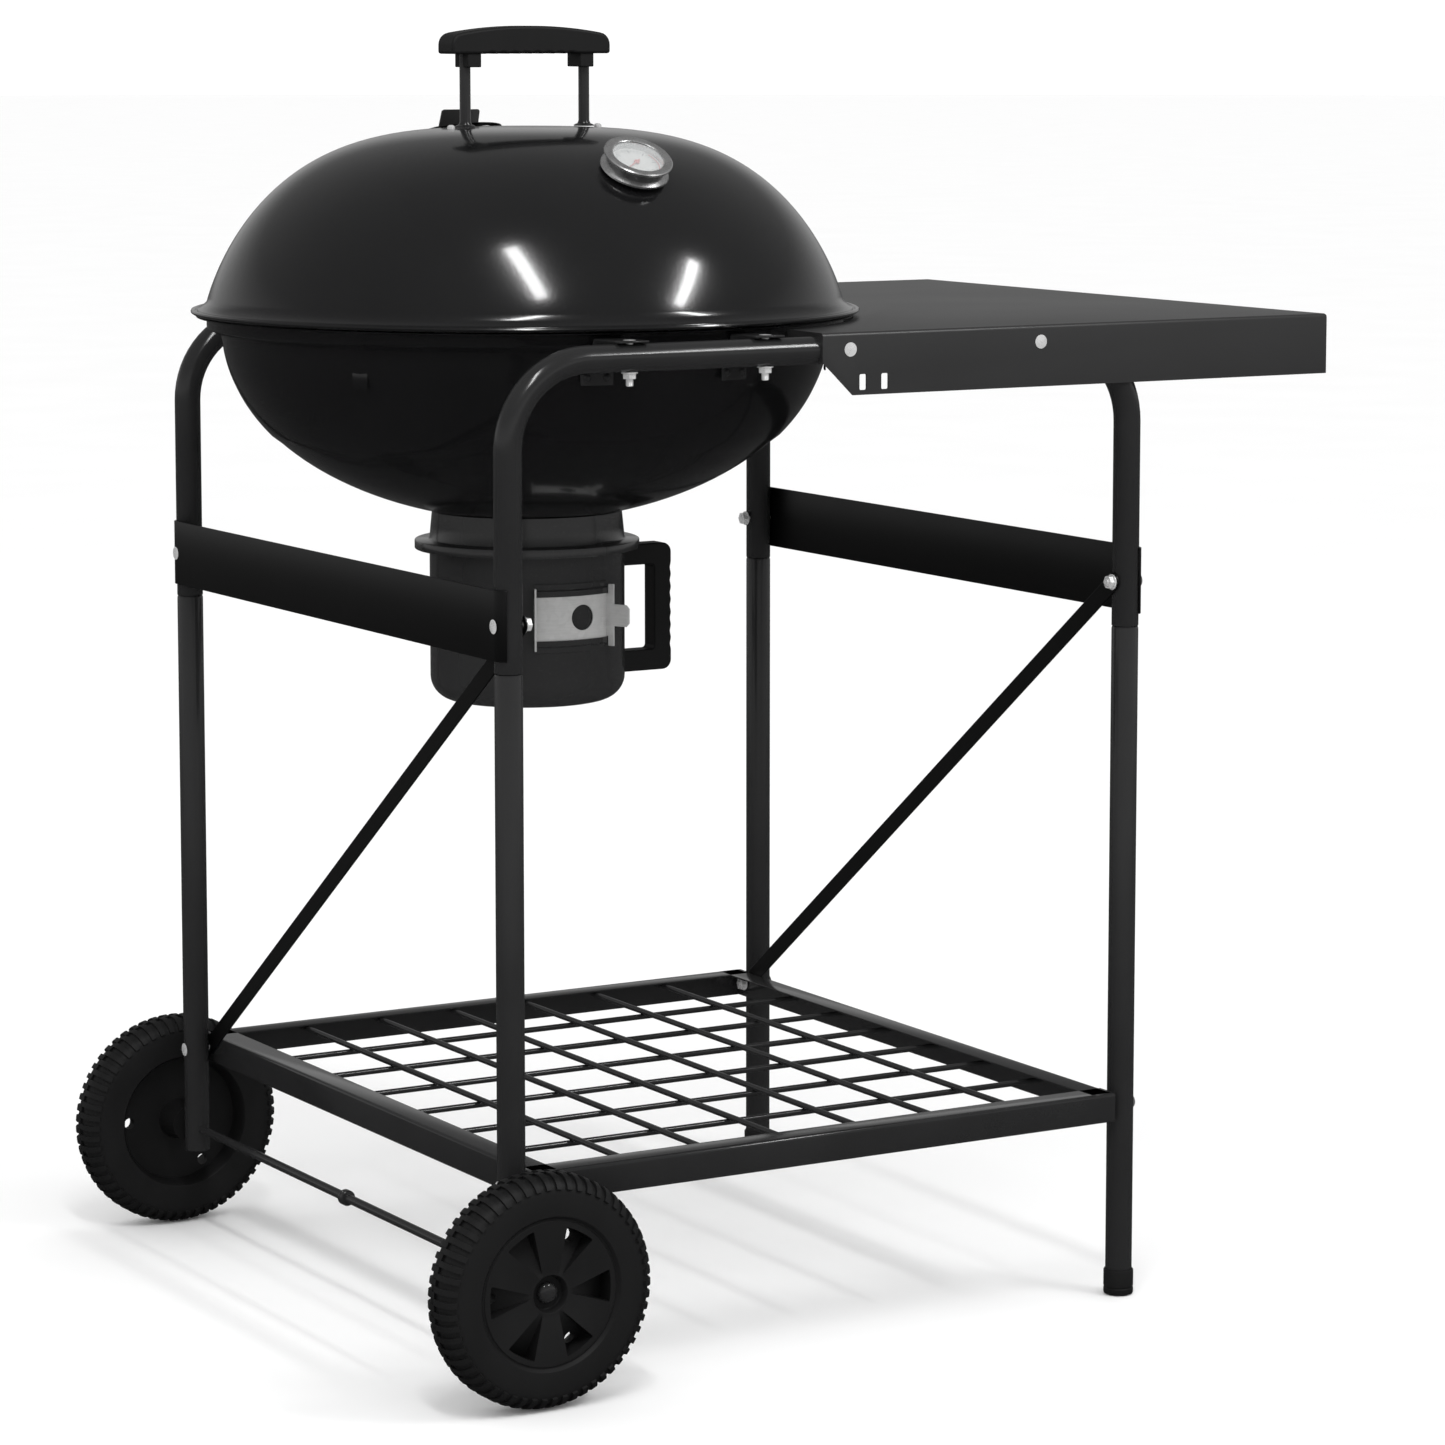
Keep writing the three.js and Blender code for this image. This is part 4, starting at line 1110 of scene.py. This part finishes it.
class GRILL_OT_hangers(bpy.types.Operator):
    """Fold the four hangers that carry the bowl on the arch tubes"""

    bl_idname = "grill.hangers"
    bl_label = "Hangers"

    def execute(self, context):
        for end, side in SIDES:
            for number in (1, 2):
                self.hanger(f"{end}_hanger_{number}", side)
        return {"FINISHED"}

    def hanger(self, node, side):
        a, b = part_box(node)
        x, half = (a.x + b.x) / 2, 13 * MM
        thick = 1.5 * MM
        tab_z = b.z - thick / 2
        outer = max(abs(a.y), abs(b.y))
        offset = x - KETTLE.x
        wall_radius = bowl_radius(784 * MM) + 1.2 * MM
        fold_y = math.sqrt((261.6 * MM) ** 2 - (abs(offset) - half) ** 2) + 1.2 * MM
        wall_y = math.sqrt(wall_radius ** 2 - offset ** 2)
        line = [
            (outer, tab_z), (fold_y + 2 * MM, tab_z), (fold_y, tab_z - 2 * MM),
            (fold_y, 784.5 * MM), (fold_y - 1.5 * MM, 783 * MM), (wall_y, 783 * MM),
        ]
        points = [(x - half, side * y, z) for y, z in line]
        bracket = strip(f"{node}_strap", points, (2 * half, 0, 0), thick)
        soften(bracket, 0.3 * MM, 2, 50)
        finished(bracket, "black_paint", CART, node)
        self.pad(node, x, side, wall_radius, half)

    def pad(self, node, x, side, radius, half):
        """Curved plate against the bowl, held by two rivets."""
        offset = x - KETTLE.x
        centre = math.atan2(side * math.sqrt(radius ** 2 - offset ** 2), offset)
        sweep = 2 * half / radius
        outer, bottom, top = radius + 1.5 * MM, 771 * MM, 794 * MM
        section = [(radius, bottom), (outer, bottom), (outer, top), (radius, top)]
        pad = spun(f"{node}_pad", section, 8, centre - sweep / 2, sweep)
        soften(pad, 0.35 * MM, 2, 50)
        finished(on_kettle(pad), "black_paint", CART)
        for index, turn in enumerate((-0.3, 0.3), 1):
            angle = centre + turn * sweep
            head = mm([(0, 1.7), (1.8, 1.4), (3, 0.5), (3.2, 0), (0, 0)])
            rivet = spun(f"{node}_rivet_{index}", head, 20)
            out = Vector((math.cos(angle), math.sin(angle), 0))
            at = KETTLE + out * outer + Vector((0, 0, 777 * MM))
            place(rivet, Matrix.Translation(at) @ facing(out))
            finished(rivet, "black_paint", CART)


def ring(name, radius, wire, z, steps=96):
    """Closed wire ring, a small circle spun about Z."""
    section = arc((radius, z), wire, 0, 330, 11)
    return spun(name, section, steps)


class GRILL_OT_grates(bpy.types.Operator):
    """Weld the cooking grate and the charcoal grate from ring, bars and cross wires"""

    bl_idname = "grill.grates"
    bl_label = "Grates"

    def execute(self, context):
        bars = context.scene.grill_sizes.grate_bars
        self.grate("cooking_grate", "cooking_grate_wires", bars, 2 * MM, "cooking_grate_body", True)
        self.grate("charcoal_grate", "charcoal_grate_wires", 11, 3 * MM, CART, False)
        return {"FINISHED"}

    def grate(self, node, name, bars, bar, body, lifts):
        a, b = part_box(node)
        wire = 3 * MM
        radius = (b.y - a.y) / 2 - wire
        z = b.z - wire
        parts = [ring("ring", radius, wire, z)]
        for i in range(1, bars + 1):
            x = -radius + i * 2 * radius / (bars + 1)
            half = math.sqrt(radius ** 2 - x ** 2)
            parts.append(round_bar("bar", (x, -half, z), (x, half, z), bar, 10))
        for y in (-0.35 * radius, 0.35 * radius) if lifts else (0,):
            half = math.sqrt(radius ** 2 - y ** 2)
            under = z - 2.6 * MM
            parts.append(round_bar("cross", (-half, y, under), (half, y, under), bar, 10))
        if lifts:
            parts += [self.loop(side * (radius - 14 * MM), z, bar) for side in (-1, 1)]
        wires = on_kettle(gather(name, parts))
        finished(wires, "grate_wire", body, node)

    def loop(self, x, z, bar):
        """Raised wire handle over the ring."""
        rise, half = 16 * MM, 34 * MM
        angles = [i * TURN / 10 for i in range(10)]
        section = [(x + bar * math.cos(t), -half, z + bar * math.sin(t)) for t in angles]
        trace([*section, section[0]])
        close_outline()
        bpy.ops.mesh.spin(steps=18, angle=math.pi, center=(x, 0, z), axis=(1, 0, 0))
        weld()
        arch = leave("loop")
        for vertex in arch.data.vertices:
            vertex.co.z = z + (vertex.co.z - z) * rise / half
        return arch


class GRILL_OT_ash_collar(bpy.types.Operator):
    """Spin the collar under the bowl with its rolled flange"""

    bl_idname = "grill.ash_collar"
    bl_label = "Ash collar"

    def execute(self, context):
        wall = context.scene.grill_sizes.enamel_wall
        a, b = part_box("ash_collar")
        flange = (b.x - a.x) / 2
        shelf = a.z + 7.5 * MM
        top = b.z - 0.4 * MM
        outline = [
            (78.4 * MM, top), (79.6 * MM, top - 12 * MM), (80.5 * MM, shelf + 2.2 * MM),
            (81.2 * MM, shelf + 0.8 * MM), (82.6 * MM, shelf), (flange - 0.9 * MM, shelf),
            (flange - 0.3 * MM, shelf - 0.3 * MM), (flange, shelf - 0.9 * MM), (flange, a.z + 0.5 * MM),
            (flange - 0.6 * MM, a.z), (flange - wall, a.z + 0.3 * MM), (flange - wall, shelf - 2.2 * MM),
            (flange - 2.6 * MM, shelf - wall), (81 * MM, shelf - wall), (79.5 * MM, shelf - 0.4 * MM),
            (79.2 * MM, shelf + 2 * MM), (77.2 * MM, top),
        ]
        collar = on_kettle(spun("collar_ring", outline, 96))
        finished(collar, "enamel", CART, "ash_collar", finish="pot_enamel")
        return {"FINISHED"}


# ---- ash pot ------------------------------------------------------------------------

POT = "ash_pot_body"
POT_RADIUS = 80.5 * MM
DAMPER_HALF = 24
POT_HOLE = -11
DAMPER_HOLE = 5
DAMPER_RADIUS = 81.1 * MM


def front_sweep(name, section, half_degrees, steps=24):
    """Sweep a (radius, z) section round the front of the pot, centred on -Y."""
    half = math.radians(half_degrees)
    return spun(name, section, steps, -math.pi / 2 - half, 2 * half)


def air_hole(z, degrees):
    """Round cutter through the front of the pot, turned right of the front."""
    hole = round_bar("cutter", (0, -0.05, z), (0, -0.12, z), 10.5 * MM, 40, 0)
    return place(hole, Matrix.Rotation(math.radians(degrees), 4, "Z"))


class GRILL_OT_ash_pot(bpy.types.Operator):
    """Spin the ash pot, pierce its air hole, and add the two guides of the damper"""

    bl_idname = "grill.ash_pot"
    bl_label = "Ash pot"

    def execute(self, context):
        wall = context.scene.grill_sizes.enamel_wall
        a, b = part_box("ash_pot")
        corner = 20 * MM
        rim = 88 * MM
        r = POT_RADIUS
        outer = arc((r - corner, a.z + corner), corner, -90, 0, 10)
        inner = arc((r - corner, a.z + corner), corner - wall, 0, -90, 10)
        foot = [(0, a.z + 1.5 * MM), (r - corner - 9 * MM, a.z + 1.5 * MM), (r - corner - 6 * MM, a.z)]
        lip = [
            (r, b.z - 4 * MM), (r + 0.6 * MM, b.z - 2 * MM), (r + 2 * MM, b.z - 1.3 * MM),
            (rim - 1 * MM, b.z - 1.3 * MM), (rim, b.z - 0.7 * MM), (rim - 0.8 * MM, b.z), (r + 1 * MM, b.z),
            (r - 0.8 * MM, b.z - 1 * MM), (r - wall, b.z - 3 * MM),
        ]
        raised = a.z + 1.5 * MM + wall
        floor = [(r - corner - 6 * MM, a.z + wall), (r - corner - 9 * MM, raised), (0, raised)]
        pot = spun("pot_shell", foot + outer + lip + inner + floor, 128)
        z = middle("pot_damper").z
        carve(pot, [air_hole(z, POT_HOLE)])
        finished(on_kettle(pot), "enamel", POT, "ash_pot", finish="pot_enamel")
        for name, sign in (("upper", 1), ("lower", -1)):
            self.guide(name, sign, z)
        return {"FINISHED"}

    def guide(self, name, sign, z):
        """Folded rail that holds one edge of the damper against the pot."""
        near = z + sign * 20.7 * MM
        far = near + sign * 7.4 * MM
        lip = near - sign * 2.8 * MM
        r, out = POT_RADIUS, 83.5 * MM
        section = [
            (r - 0.3 * MM, far), (r - 0.3 * MM, near), (out - 1 * MM, near), (out - 1 * MM, lip),
            (out - 0.1 * MM, lip), (out - 0.1 * MM, near + sign * 1.6 * MM),
            (r + 1 * MM, near + sign * 3 * MM), (r + 1 * MM, far),
        ]
        rail = soften(front_sweep(f"guide_{name}", section, 24.6), 0.25 * MM, 2, 40)
        finished(on_kettle(rail), "enamel", POT, finish="pot_enamel")


class GRILL_OT_pot_damper(bpy.types.Operator):
    """Roll the sliding damper, pierce it, and fold its end fins and pull tab"""

    bl_idname = "grill.pot_damper"
    bl_label = "Pot damper"

    def execute(self, context):
        z = middle("pot_damper").z
        r, t = DAMPER_RADIUS, 1.2 * MM
        half = 20.4 * MM
        section = [(r, z - half), (r + t, z - half), (r + t, z + half), (r, z + half)]
        plate = front_sweep("plate", section, DAMPER_HALF, 32)
        carve(plate, [air_hole(z, DAMPER_HOLE)])
        parts = [soften(plate, 0.25 * MM, 2, 50)]
        for side in (-1, 1):
            parts.append(self.fin(side, r, z))
        damper = on_kettle(gather("pot_slide", parts))
        finished(damper, "zinc", "pot_damper_body", "pot_damper")
        return {"FINISHED"}

    def fin(self, side, r, z):
        """Fin folded outwards at one end; the right one carries the pull tab."""
        web, tall = 17.5 * MM, 25.5 * MM
        root, edge, tip = r + 0.2 * MM, 89.5 * MM, 105 * MM
        neck = 83.8 * MM
        outline = [(root, z - web), (neck, z - web), (neck, z - tall), (edge, z - tall)]
        if side > 0:
            outline += [(edge, z - 9 * MM), (tip - 3 * MM, z - 9 * MM), (tip, z - 6 * MM)]
            outline += [(tip, z + 6 * MM), (tip - 3 * MM, z + 9 * MM), (edge, z + 9 * MM)]
        outline += [(edge, z + tall), (neck, z + tall), (neck, z + web), (root, z + web)]
        fin = slab("fin", [(x, -0.7 * MM, h) for x, h in outline], (0, 1.4 * MM, 0))
        soften(fin, 0.3 * MM, 2, 50)
        angle = math.radians(-90 + side * DAMPER_HALF)
        return place(fin, Matrix.Rotation(angle, 4, "Z"))


class GRILL_OT_pot_handle(bpy.types.Operator):
    """Mould the D handle of the pot with its finger grip"""

    bl_idname = "grill.pot_handle"
    bl_label = "Pot handle"

    def execute(self, context):
        a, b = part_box("pot_handle")
        inner, outer = a.x, b.x
        corner = 8 * MM
        waves = 7
        low_grip, high_grip = a.z + 16 * MM, b.z - 16 * MM
        grip = []
        for i in range(waves * 6 + 1):
            share = i / (waves * 6)
            depth = 0.9 * MM * (1 - math.cos(share * waves * TURN)) / 2
            grip.append((outer - depth, low_grip + (high_grip - low_grip) * share))
        outline = [(inner, a.z), *arc((outer - corner, a.z + corner), corner, -90, 0, 8)]
        outline += [*grip, *arc((outer - corner, b.z - corner), corner, 0, 90, 8), (inner, b.z)]
        handle = slab("d_handle", [(x, a.y, z) for x, z in outline], (0, b.y - a.y, 0))
        window_low = (inner + 4 * MM, a.y - 0.01, a.z + 17.5 * MM)
        window_high = (outer - 16 * MM, b.y + 0.01, b.z - 17.5 * MM)
        window = block("cutter", window_low, window_high)
        soften(window, 3 * MM, 4)
        carve(handle, [window])
        soften(handle, 1.2 * MM, 3, 60)
        finished(handle, "black_plastic", POT, "pot_handle")
        return {"FINISHED"}


# ---- lid ----------------------------------------------------------------------------

LID = "lid_body"
GAUGE_AT = 180 * MM
VENT_AT = 108 * MM


def vent_holes(radius, base, top):
    """Four round cutters on the vent's circle, in the vent's frame."""
    tools = []
    for i in range(4):
        angle = TURN / 8 + i * TURN / 4
        x, y = 18 * MM * math.cos(angle), 18 * MM * math.sin(angle)
        tools.append(round_bar("cutter", (x, y, base), (x, y, top), radius, 24, 0))
    return tools


class GRILL_OT_lid(bpy.types.Operator):
    """Spin the domed lid with its flared, rolled lip and pierce its vent"""

    bl_idname = "grill.lid"
    bl_label = "Lid"

    def execute(self, context):
        wall = context.scene.grill_sizes.enamel_wall
        start = math.asin((22 * MM / DOME_RISE) ** (1 / DOME_CROWN))
        steps = 40
        skin = [lid_point(start + (math.pi / 2 - start) * (i / steps)) for i in range(steps)]
        apex = RIM_Z + DOME_RISE
        bead = [
            (270.6, 813.6), (272.4, 813.9), (273.7, 814.9), (273.9, 816), (273.3, 817.1), (271.9, 817.6),
        ]
        groove = [
            (270.6, 817.3), (269.8, 816.2), (269, 816.3), (268.4, 817.6), (265.8, 818.6), (263.6, 820.6),
        ]
        outer = mm(bead + groove) + skin + [(0, apex)]
        inner = [(0, apex - wall)]
        for r, z in reversed(skin):
            normal = dome(r)[1]
            inner.append((r - wall * normal.x, z - wall * normal.y))
        inner += mm([(262.3, 820), (264.6, 817.6), (267.4, 816.2), (268.4, 814.6), (269.4, 813.8)])
        lid = on_kettle(spun("lid_shell", inner + outer, 160))
        frame_matrix = dome_frame(VENT_AT, 1)
        carve(lid, [place(hole, frame_matrix) for hole in vent_holes(7 * MM, -0.02, 0.02)])
        finished(lid, "enamel", LID, "lid")
        return {"FINISHED"}


class GRILL_OT_lid_handle(bpy.types.Operator):
    """Mould the lid's grip and stand it on its two posts"""

    bl_idname = "grill.lid_handle"
    bl_label = "Lid handle"

    def execute(self, context):
        a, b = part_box("lid_handle")
        self.grip(a, b)
        for hand, sx in (("left", -1), ("right", 1)):
            self.post(hand, sx)
            self.screw(hand, sx)
        return {"FINISHED"}

    def grip(self, a, b):
        """Arched bar with a wavy underside between two sockets."""
        half = (b.x - a.x) / 2
        under = a.z + 10.8 * MM
        rise = 7 * MM
        radius = (half ** 2 + rise ** 2) / (2 * rise)
        sweep = math.degrees(math.asin((half - 9 * MM) / radius))
        crown = arc((0, b.z - radius), radius, 90 - sweep, 90 + sweep, 20)
        shoulder = 10 * MM
        right_z = crown[0][1] - shoulder
        right = arc((half - shoulder, right_z), shoulder, 0, 65, 5)
        left = [(-x, z) for x, z in reversed(right)]
        count, run = 8, 84 * MM
        waves = []
        for i in range(count * 6 + 1):
            share = i / (count * 6)
            dip = 1.0 * MM * (1 - math.cos(share * count * TURN)) / 2
            waves.append(((share - 0.5) * run, under + dip))
        outline = [(-half, under), *waves, (half, under), *right, *crown, *left]
        depth = b.y - a.y
        bar = slab("grip", [(x, a.y, z) for x, z in outline], (0, depth, 0))
        soften(bar, 2.2 * MM, 4, 60)
        sockets = []
        for side in (-1, 1):
            x = side * 52 * MM
            wide, deep = 6.3 * MM, 11.3 * MM
            socket = block("socket", (x - wide, -deep, a.z), (x + wide, deep, under + 3 * MM))
            sockets.append(soften(socket, 0.8 * MM, 3))
        grip = on_kettle(gather("lid_grip", [bar, *sockets]))
        finished(grip, "black_plastic", LID, "lid_handle")

    def post(self, hand, sx):
        """Round post with a flared foot welded to the dome."""
        node = f"handle_post_{hand}"
        a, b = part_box(node)
        outline = [
            (0, a.z), (8.2 * MM, a.z), (8.5 * MM, a.z + 0.6 * MM), (7.4 * MM, a.z + 1.4 * MM),
            (5.4 * MM, a.z + 2.2 * MM), (4.5 * MM, a.z + 4.4 * MM), (4.5 * MM, b.z), (0, b.z),
        ]
        at = Matrix.Translation(KETTLE + Vector((sx * 55 * MM, 0, 0)))
        post = place(spun(f"post_{hand}", outline, 40), at)
        finished(post, "black_paint", LID, node)

    def screw(self, hand, sx):
        """Small bright screw beside the post's foot."""
        head = mm([(0, 3.2), (1.8, 3), (3, 1.8), (3.2, 0), (0, 0)])
        screw = spun(f"post_screw_{hand}", head, 24)
        radius = 68 * MM
        z, normal = dome(radius)
        up = Vector((sx * normal.x, 0, normal.y))
        at = KETTLE + Vector((sx * radius, 0, z))
        finished(place(screw, Matrix.Translation(at) @ facing(up)), "bolt_steel", LID)


class GRILL_OT_thermometer(bpy.types.Operator):
    """Turn the thermometer's case and fit its dial, scale, needle and glass"""

    bl_idname = "grill.thermometer"
    bl_label = "Thermometer"

    def execute(self, context):
        gauge = dome_frame(GAUGE_AT, -1)
        case = [
            (0, -30), (2.2, -29), (3, -26), (3, 0.8), (25, 0.8), (27, 1.2), (28, 2.2), (27.6, 3.4),
            (25.4, 4.6), (24.2, 5.2), (24.2, 10.6), (25.2, 11.6), (27.2, 12.4), (28, 13.4),
            (28, 14.4), (27.2, 15.2), (25.6, 15.5), (22.2, 15.3), (21.2, 14.6), (20.8, 13.6),
            (20.8, 8.2), (0, 8.2),
        ]
        body = place(spun("thermometer_case", mm(case), 96), gauge)
        finished(body, "bolt_steel", LID, "thermometer", finish="gauge_steel")
        self.dial(gauge)
        self.scale(gauge, context.scene.grill_sizes.dial_ticks)
        self.needle(gauge)
        pane = [(0, 13.4), (12, 13.3), (20.6, 13), (20.6, 13.9), (12, 14.3), (0, 14.45)]
        glass = place(spun("gauge_glass", mm(pane), 64), gauge)
        finished(glass, "clear_glass", LID, "thermometer_glass")
        return {"FINISHED"}

    def dial(self, gauge):
        face = [(0, 8.35), (20.2, 8.35), (20.6, 8.5), (20.6, 8.3), (0, 8.3)]
        disc = place(spun("gauge_dial", mm(face), 64), gauge)
        # Grey in place of the white face: painted shade of the recess.
        finished(disc, "bolt_steel", LID, finish="dial_white")

    def scale(self, gauge, ticks):
        """Ticks round the dial, every fifth one long, and the red arc of the hot end."""
        parts = []
        for i in range(ticks):
            angle = math.radians(225 - 270 * i / (ticks - 1))
            inner = 13.5 if i % 5 == 0 else 15.6
            width = 0.35 if i % 5 == 0 else 0.2
            tick = block("tick", *mm([(inner, -width, 8.36), (18, width, 8.5)]))
            parts.append(place(tick, Matrix.Rotation(angle, 4, "Z")))
        marks = place(gather("gauge_ticks", parts), gauge)
        finished(marks, "bolt_steel", LID, finish="dial_ink")
        section = [(18.4, 8.36), (19.4, 8.36), (19.4, 8.5), (18.4, 8.5)]
        hot = spun("gauge_hot_arc", mm(section), 16, math.radians(-45), math.radians(80))
        finished(place(hot, gauge), "needle_red", LID)

    def needle(self, gauge):
        """Tapered needle on its hub, resting at the cold end of the scale."""
        hub = spun("hub", mm([(0, 8.9), (2.2, 8.9), (2.2, 10), (1.6, 10.5), (0, 10.5)]), 32)
        outline = [(-0.9, -5), (0.9, -5), (0.7, 0), (0.2, 16), (-0.2, 16), (-0.7, 0)]
        blade = slab("blade", mm([(x, y, 9.3) for x, y in outline]), (0, 0, 0.5 * MM))
        needle = gather("gauge_needle", [hub, soften(blade, 0.08 * MM, 1)])
        cold_end = 2.2
        place(needle, gauge @ Matrix.Rotation(cold_end, 4, "Z"))
        finished(needle, "needle_red", "needle_body", "thermometer_needle")


class GRILL_OT_lid_damper(bpy.types.Operator):
    """Stamp the vent's damper disc, fold its tab, and rivet it to the lid"""

    bl_idname = "grill.lid_damper"
    bl_label = "Lid damper"

    def execute(self, context):
        vent = dome_frame(VENT_AT, 1)
        disc = [
            (3, 1.1), (8, 1.1), (9.5, 1), (30.5, 1), (31.6, 1.2), (32, 1.7), (31.4, 2.3),
            (30.5, 2.4), (10, 2.4), (8, 2.6), (3, 2.6),
        ]
        plate = spun("disc", mm(disc), 72)
        carve(plate, vent_holes(7 * MM, -0.01, 0.01))
        tab = [(-20, 2.2), (17, 2.2), (20.5, 17), (20.2, 18.4), (19, 19), (-13, 19), (-15, 18)]
        fold = slab("tab", mm([(x, 7.2, z) for x, z in tab]), (0, 1.6 * MM, 0))
        soften(plate, 0.2 * MM, 1, 50)
        soften(fold, 0.4 * MM, 2, 50)
        damper = place(gather("vent_disc", [plate, fold]), vent)
        # Darker copy of the black paint: painted shade on the vent damper.
        finished(damper, "black_paint", "lid_damper_body", "lid_damper", finish="plate_paint")
        head = [
            (0, -5), (4.5, -5), (4.5, -3), (2.3, -3), (2.3, 2.8), (5.5, 2.8), (5.3, 3.6),
            (4, 4.6), (2, 5), (0, 5.1),
        ]
        rivet = place(spun("vent_rivet", mm(head), 32), vent)
        finished(rivet, "bolt_steel", LID, "damper_rivet")
        return {"FINISHED"}


# ---- stage --------------------------------------------------------------------------


SKY_GLOW = 1.09
SKY_STOPS = (
    (0.2, 0.03), (0.45, 0.06), (0.5, 0.13), (0.53, 0.46), (0.59, 0.42), (0.68, 0.2), (1.0, 0.22),
)


class GRILL_OT_stage(bpy.types.Operator):
    """Set the pale floor, the soft lights, the sky and the camera"""

    bl_idname = "grill.stage"
    bl_label = "Stage"

    def execute(self, context):
        scene = context.scene
        scene.view_settings.view_transform = "Standard"
        put_down()
        bpy.ops.mesh.primitive_circle_add(
            vertices=96, radius=60, fill_type="NGON", location=(0, 0, -0.5 * MM)
        )
        floor = leave("floor")
        pale = Finish("pale_floor", {"Roughness": 0.9, "Specular IOR Level": 0.1})
        pale.shades(pale.noise(3, 2), (0.93, 0.93, 0.93), 0.98, 1.02)
        floor.data.materials.append(pale.material)
        floor.visible_glossy = False
        self.camera(scene)
        self.lights()
        self.sky(scene)
        return {"FINISHED"}

    def camera(self, scene):
        data = bpy.data.cameras.new("camera")
        data.lens = 120.17
        data.sensor_width = 36
        data.shift_y = -0.08
        data.clip_end = 200
        camera = bpy.data.objects.new("camera", data)
        camera.location = (-2.0375, -3.4928, 1.0564)
        camera.rotation_euler = (math.radians(90 - 7.0126), 0, math.radians(-30.606))
        scene.collection.objects.link(camera)
        scene.camera = camera

    def lights(self):
        """Two tall soft boxes at the front, which the lid reflects as two streaks."""
        left, left_up = Vector((-0.33, -0.544, 0.772)), Vector((0, 0.8, 0.6))
        right, right_up = Vector((0.542, -0.604, 0.585)), Vector((0.134, 0.32, 0.194))
        self.soft_box("left_box", left, left_up, (0.2, 1.25), 24)
        self.soft_box("right_box", right, right_up, (0.17, 1.05), 18)

    def soft_box(self, name, towards, up, size, power):
        heart = KETTLE + Vector((0, -0.22, 0.85))
        distance = 2.6
        data = bpy.data.lights.new(name, "AREA")
        data.shape = "RECTANGLE"
        data.size, data.size_y = size
        data.energy = power
        box = bpy.data.objects.new(name, data)
        back = towards.normalized()
        side = up.cross(back).normalized()
        matrix = Matrix((side, back.cross(side), back)).transposed().to_4x4()
        matrix.translation = heart + back * distance
        box.matrix_world = matrix
        box.visible_camera = False
        bpy.context.scene.collection.objects.link(box)

    def sky(self, scene):
        """White to the eye and to the floor; reflections see grey above and dark below."""
        world = bpy.data.worlds.new("studio")
        world.use_nodes = True
        tree = world.node_tree
        background = tree.nodes["Background"]
        sight = tree.nodes.new("ShaderNodeLightPath").outputs
        direction = tree.nodes.new("ShaderNodeTexCoord").outputs["Generated"]
        split = tree.nodes.new("ShaderNodeSeparateXYZ")
        tree.links.new(direction, split.inputs[0])
        ramp = tree.nodes.new("ShaderNodeValToRGB")
        height = Flow(tree, split.outputs["Z"]) * 0.5 + 0.5
        feed(tree, ramp.inputs["Fac"], height)
        set_stops(ramp.color_ramp, SKY_STOPS)
        mirror = Flow(tree, sight["Is Glossy Ray"])
        background.inputs["Color"].default_value = (1, 1, 1, 1)
        glow = Flow(tree, ramp.outputs["Color"]) * mirror + (1 - mirror) * SKY_GLOW
        feed(tree, background.inputs["Strength"], glow)
        scene.world = world


# ---- panel and running --------------------------------------------------------------

OPERATORS = (
    GRILL_OT_stage, GRILL_OT_arch_tubes, GRILL_OT_legs, GRILL_OT_cross_plates,
    GRILL_OT_braces, GRILL_OT_bolts, GRILL_OT_shelf_rails, GRILL_OT_shelf_wires,
    GRILL_OT_side_table, GRILL_OT_wheels, GRILL_OT_axle, GRILL_OT_bowl, GRILL_OT_hangers,
    GRILL_OT_grates, GRILL_OT_ash_collar, GRILL_OT_ash_pot, GRILL_OT_pot_damper,
    GRILL_OT_pot_handle, GRILL_OT_lid, GRILL_OT_lid_handle, GRILL_OT_thermometer,
    GRILL_OT_lid_damper,
)


class GRILL_PT_panel(bpy.types.Panel):
    bl_label = "Kettle Grill"
    bl_space_type = "VIEW_3D"
    bl_region_type = "UI"
    bl_category = "Kettle Grill"

    def draw(self, context):
        for group in (context.scene.grill_sizes, context.scene.grill_colours):
            column = self.layout.column()
            for name in group.__annotations__:
                column.prop(group, name)
        for operator in OPERATORS:
            self.layout.operator(operator.bl_idname)


CLASSES = (GrillSizes, GrillColours, *OPERATORS, GRILL_PT_panel)


def register():
    for cls in CLASSES:
        bpy.utils.register_class(cls)
    bpy.types.Scene.grill_sizes = PointerProperty(type=GrillSizes)
    bpy.types.Scene.grill_colours = PointerProperty(type=GrillColours)


def unregister():
    del bpy.types.Scene.grill_colours
    del bpy.types.Scene.grill_sizes
    for cls in reversed(CLASSES):
        bpy.utils.unregister_class(cls)


def main():
    register()
    make_finishes(bpy.context.scene.grill_colours)
    for operator in OPERATORS:
        group, name = operator.bl_idname.split(".")
        getattr(getattr(bpy.ops, group), name)()


if __name__ == "__main__":
    main()
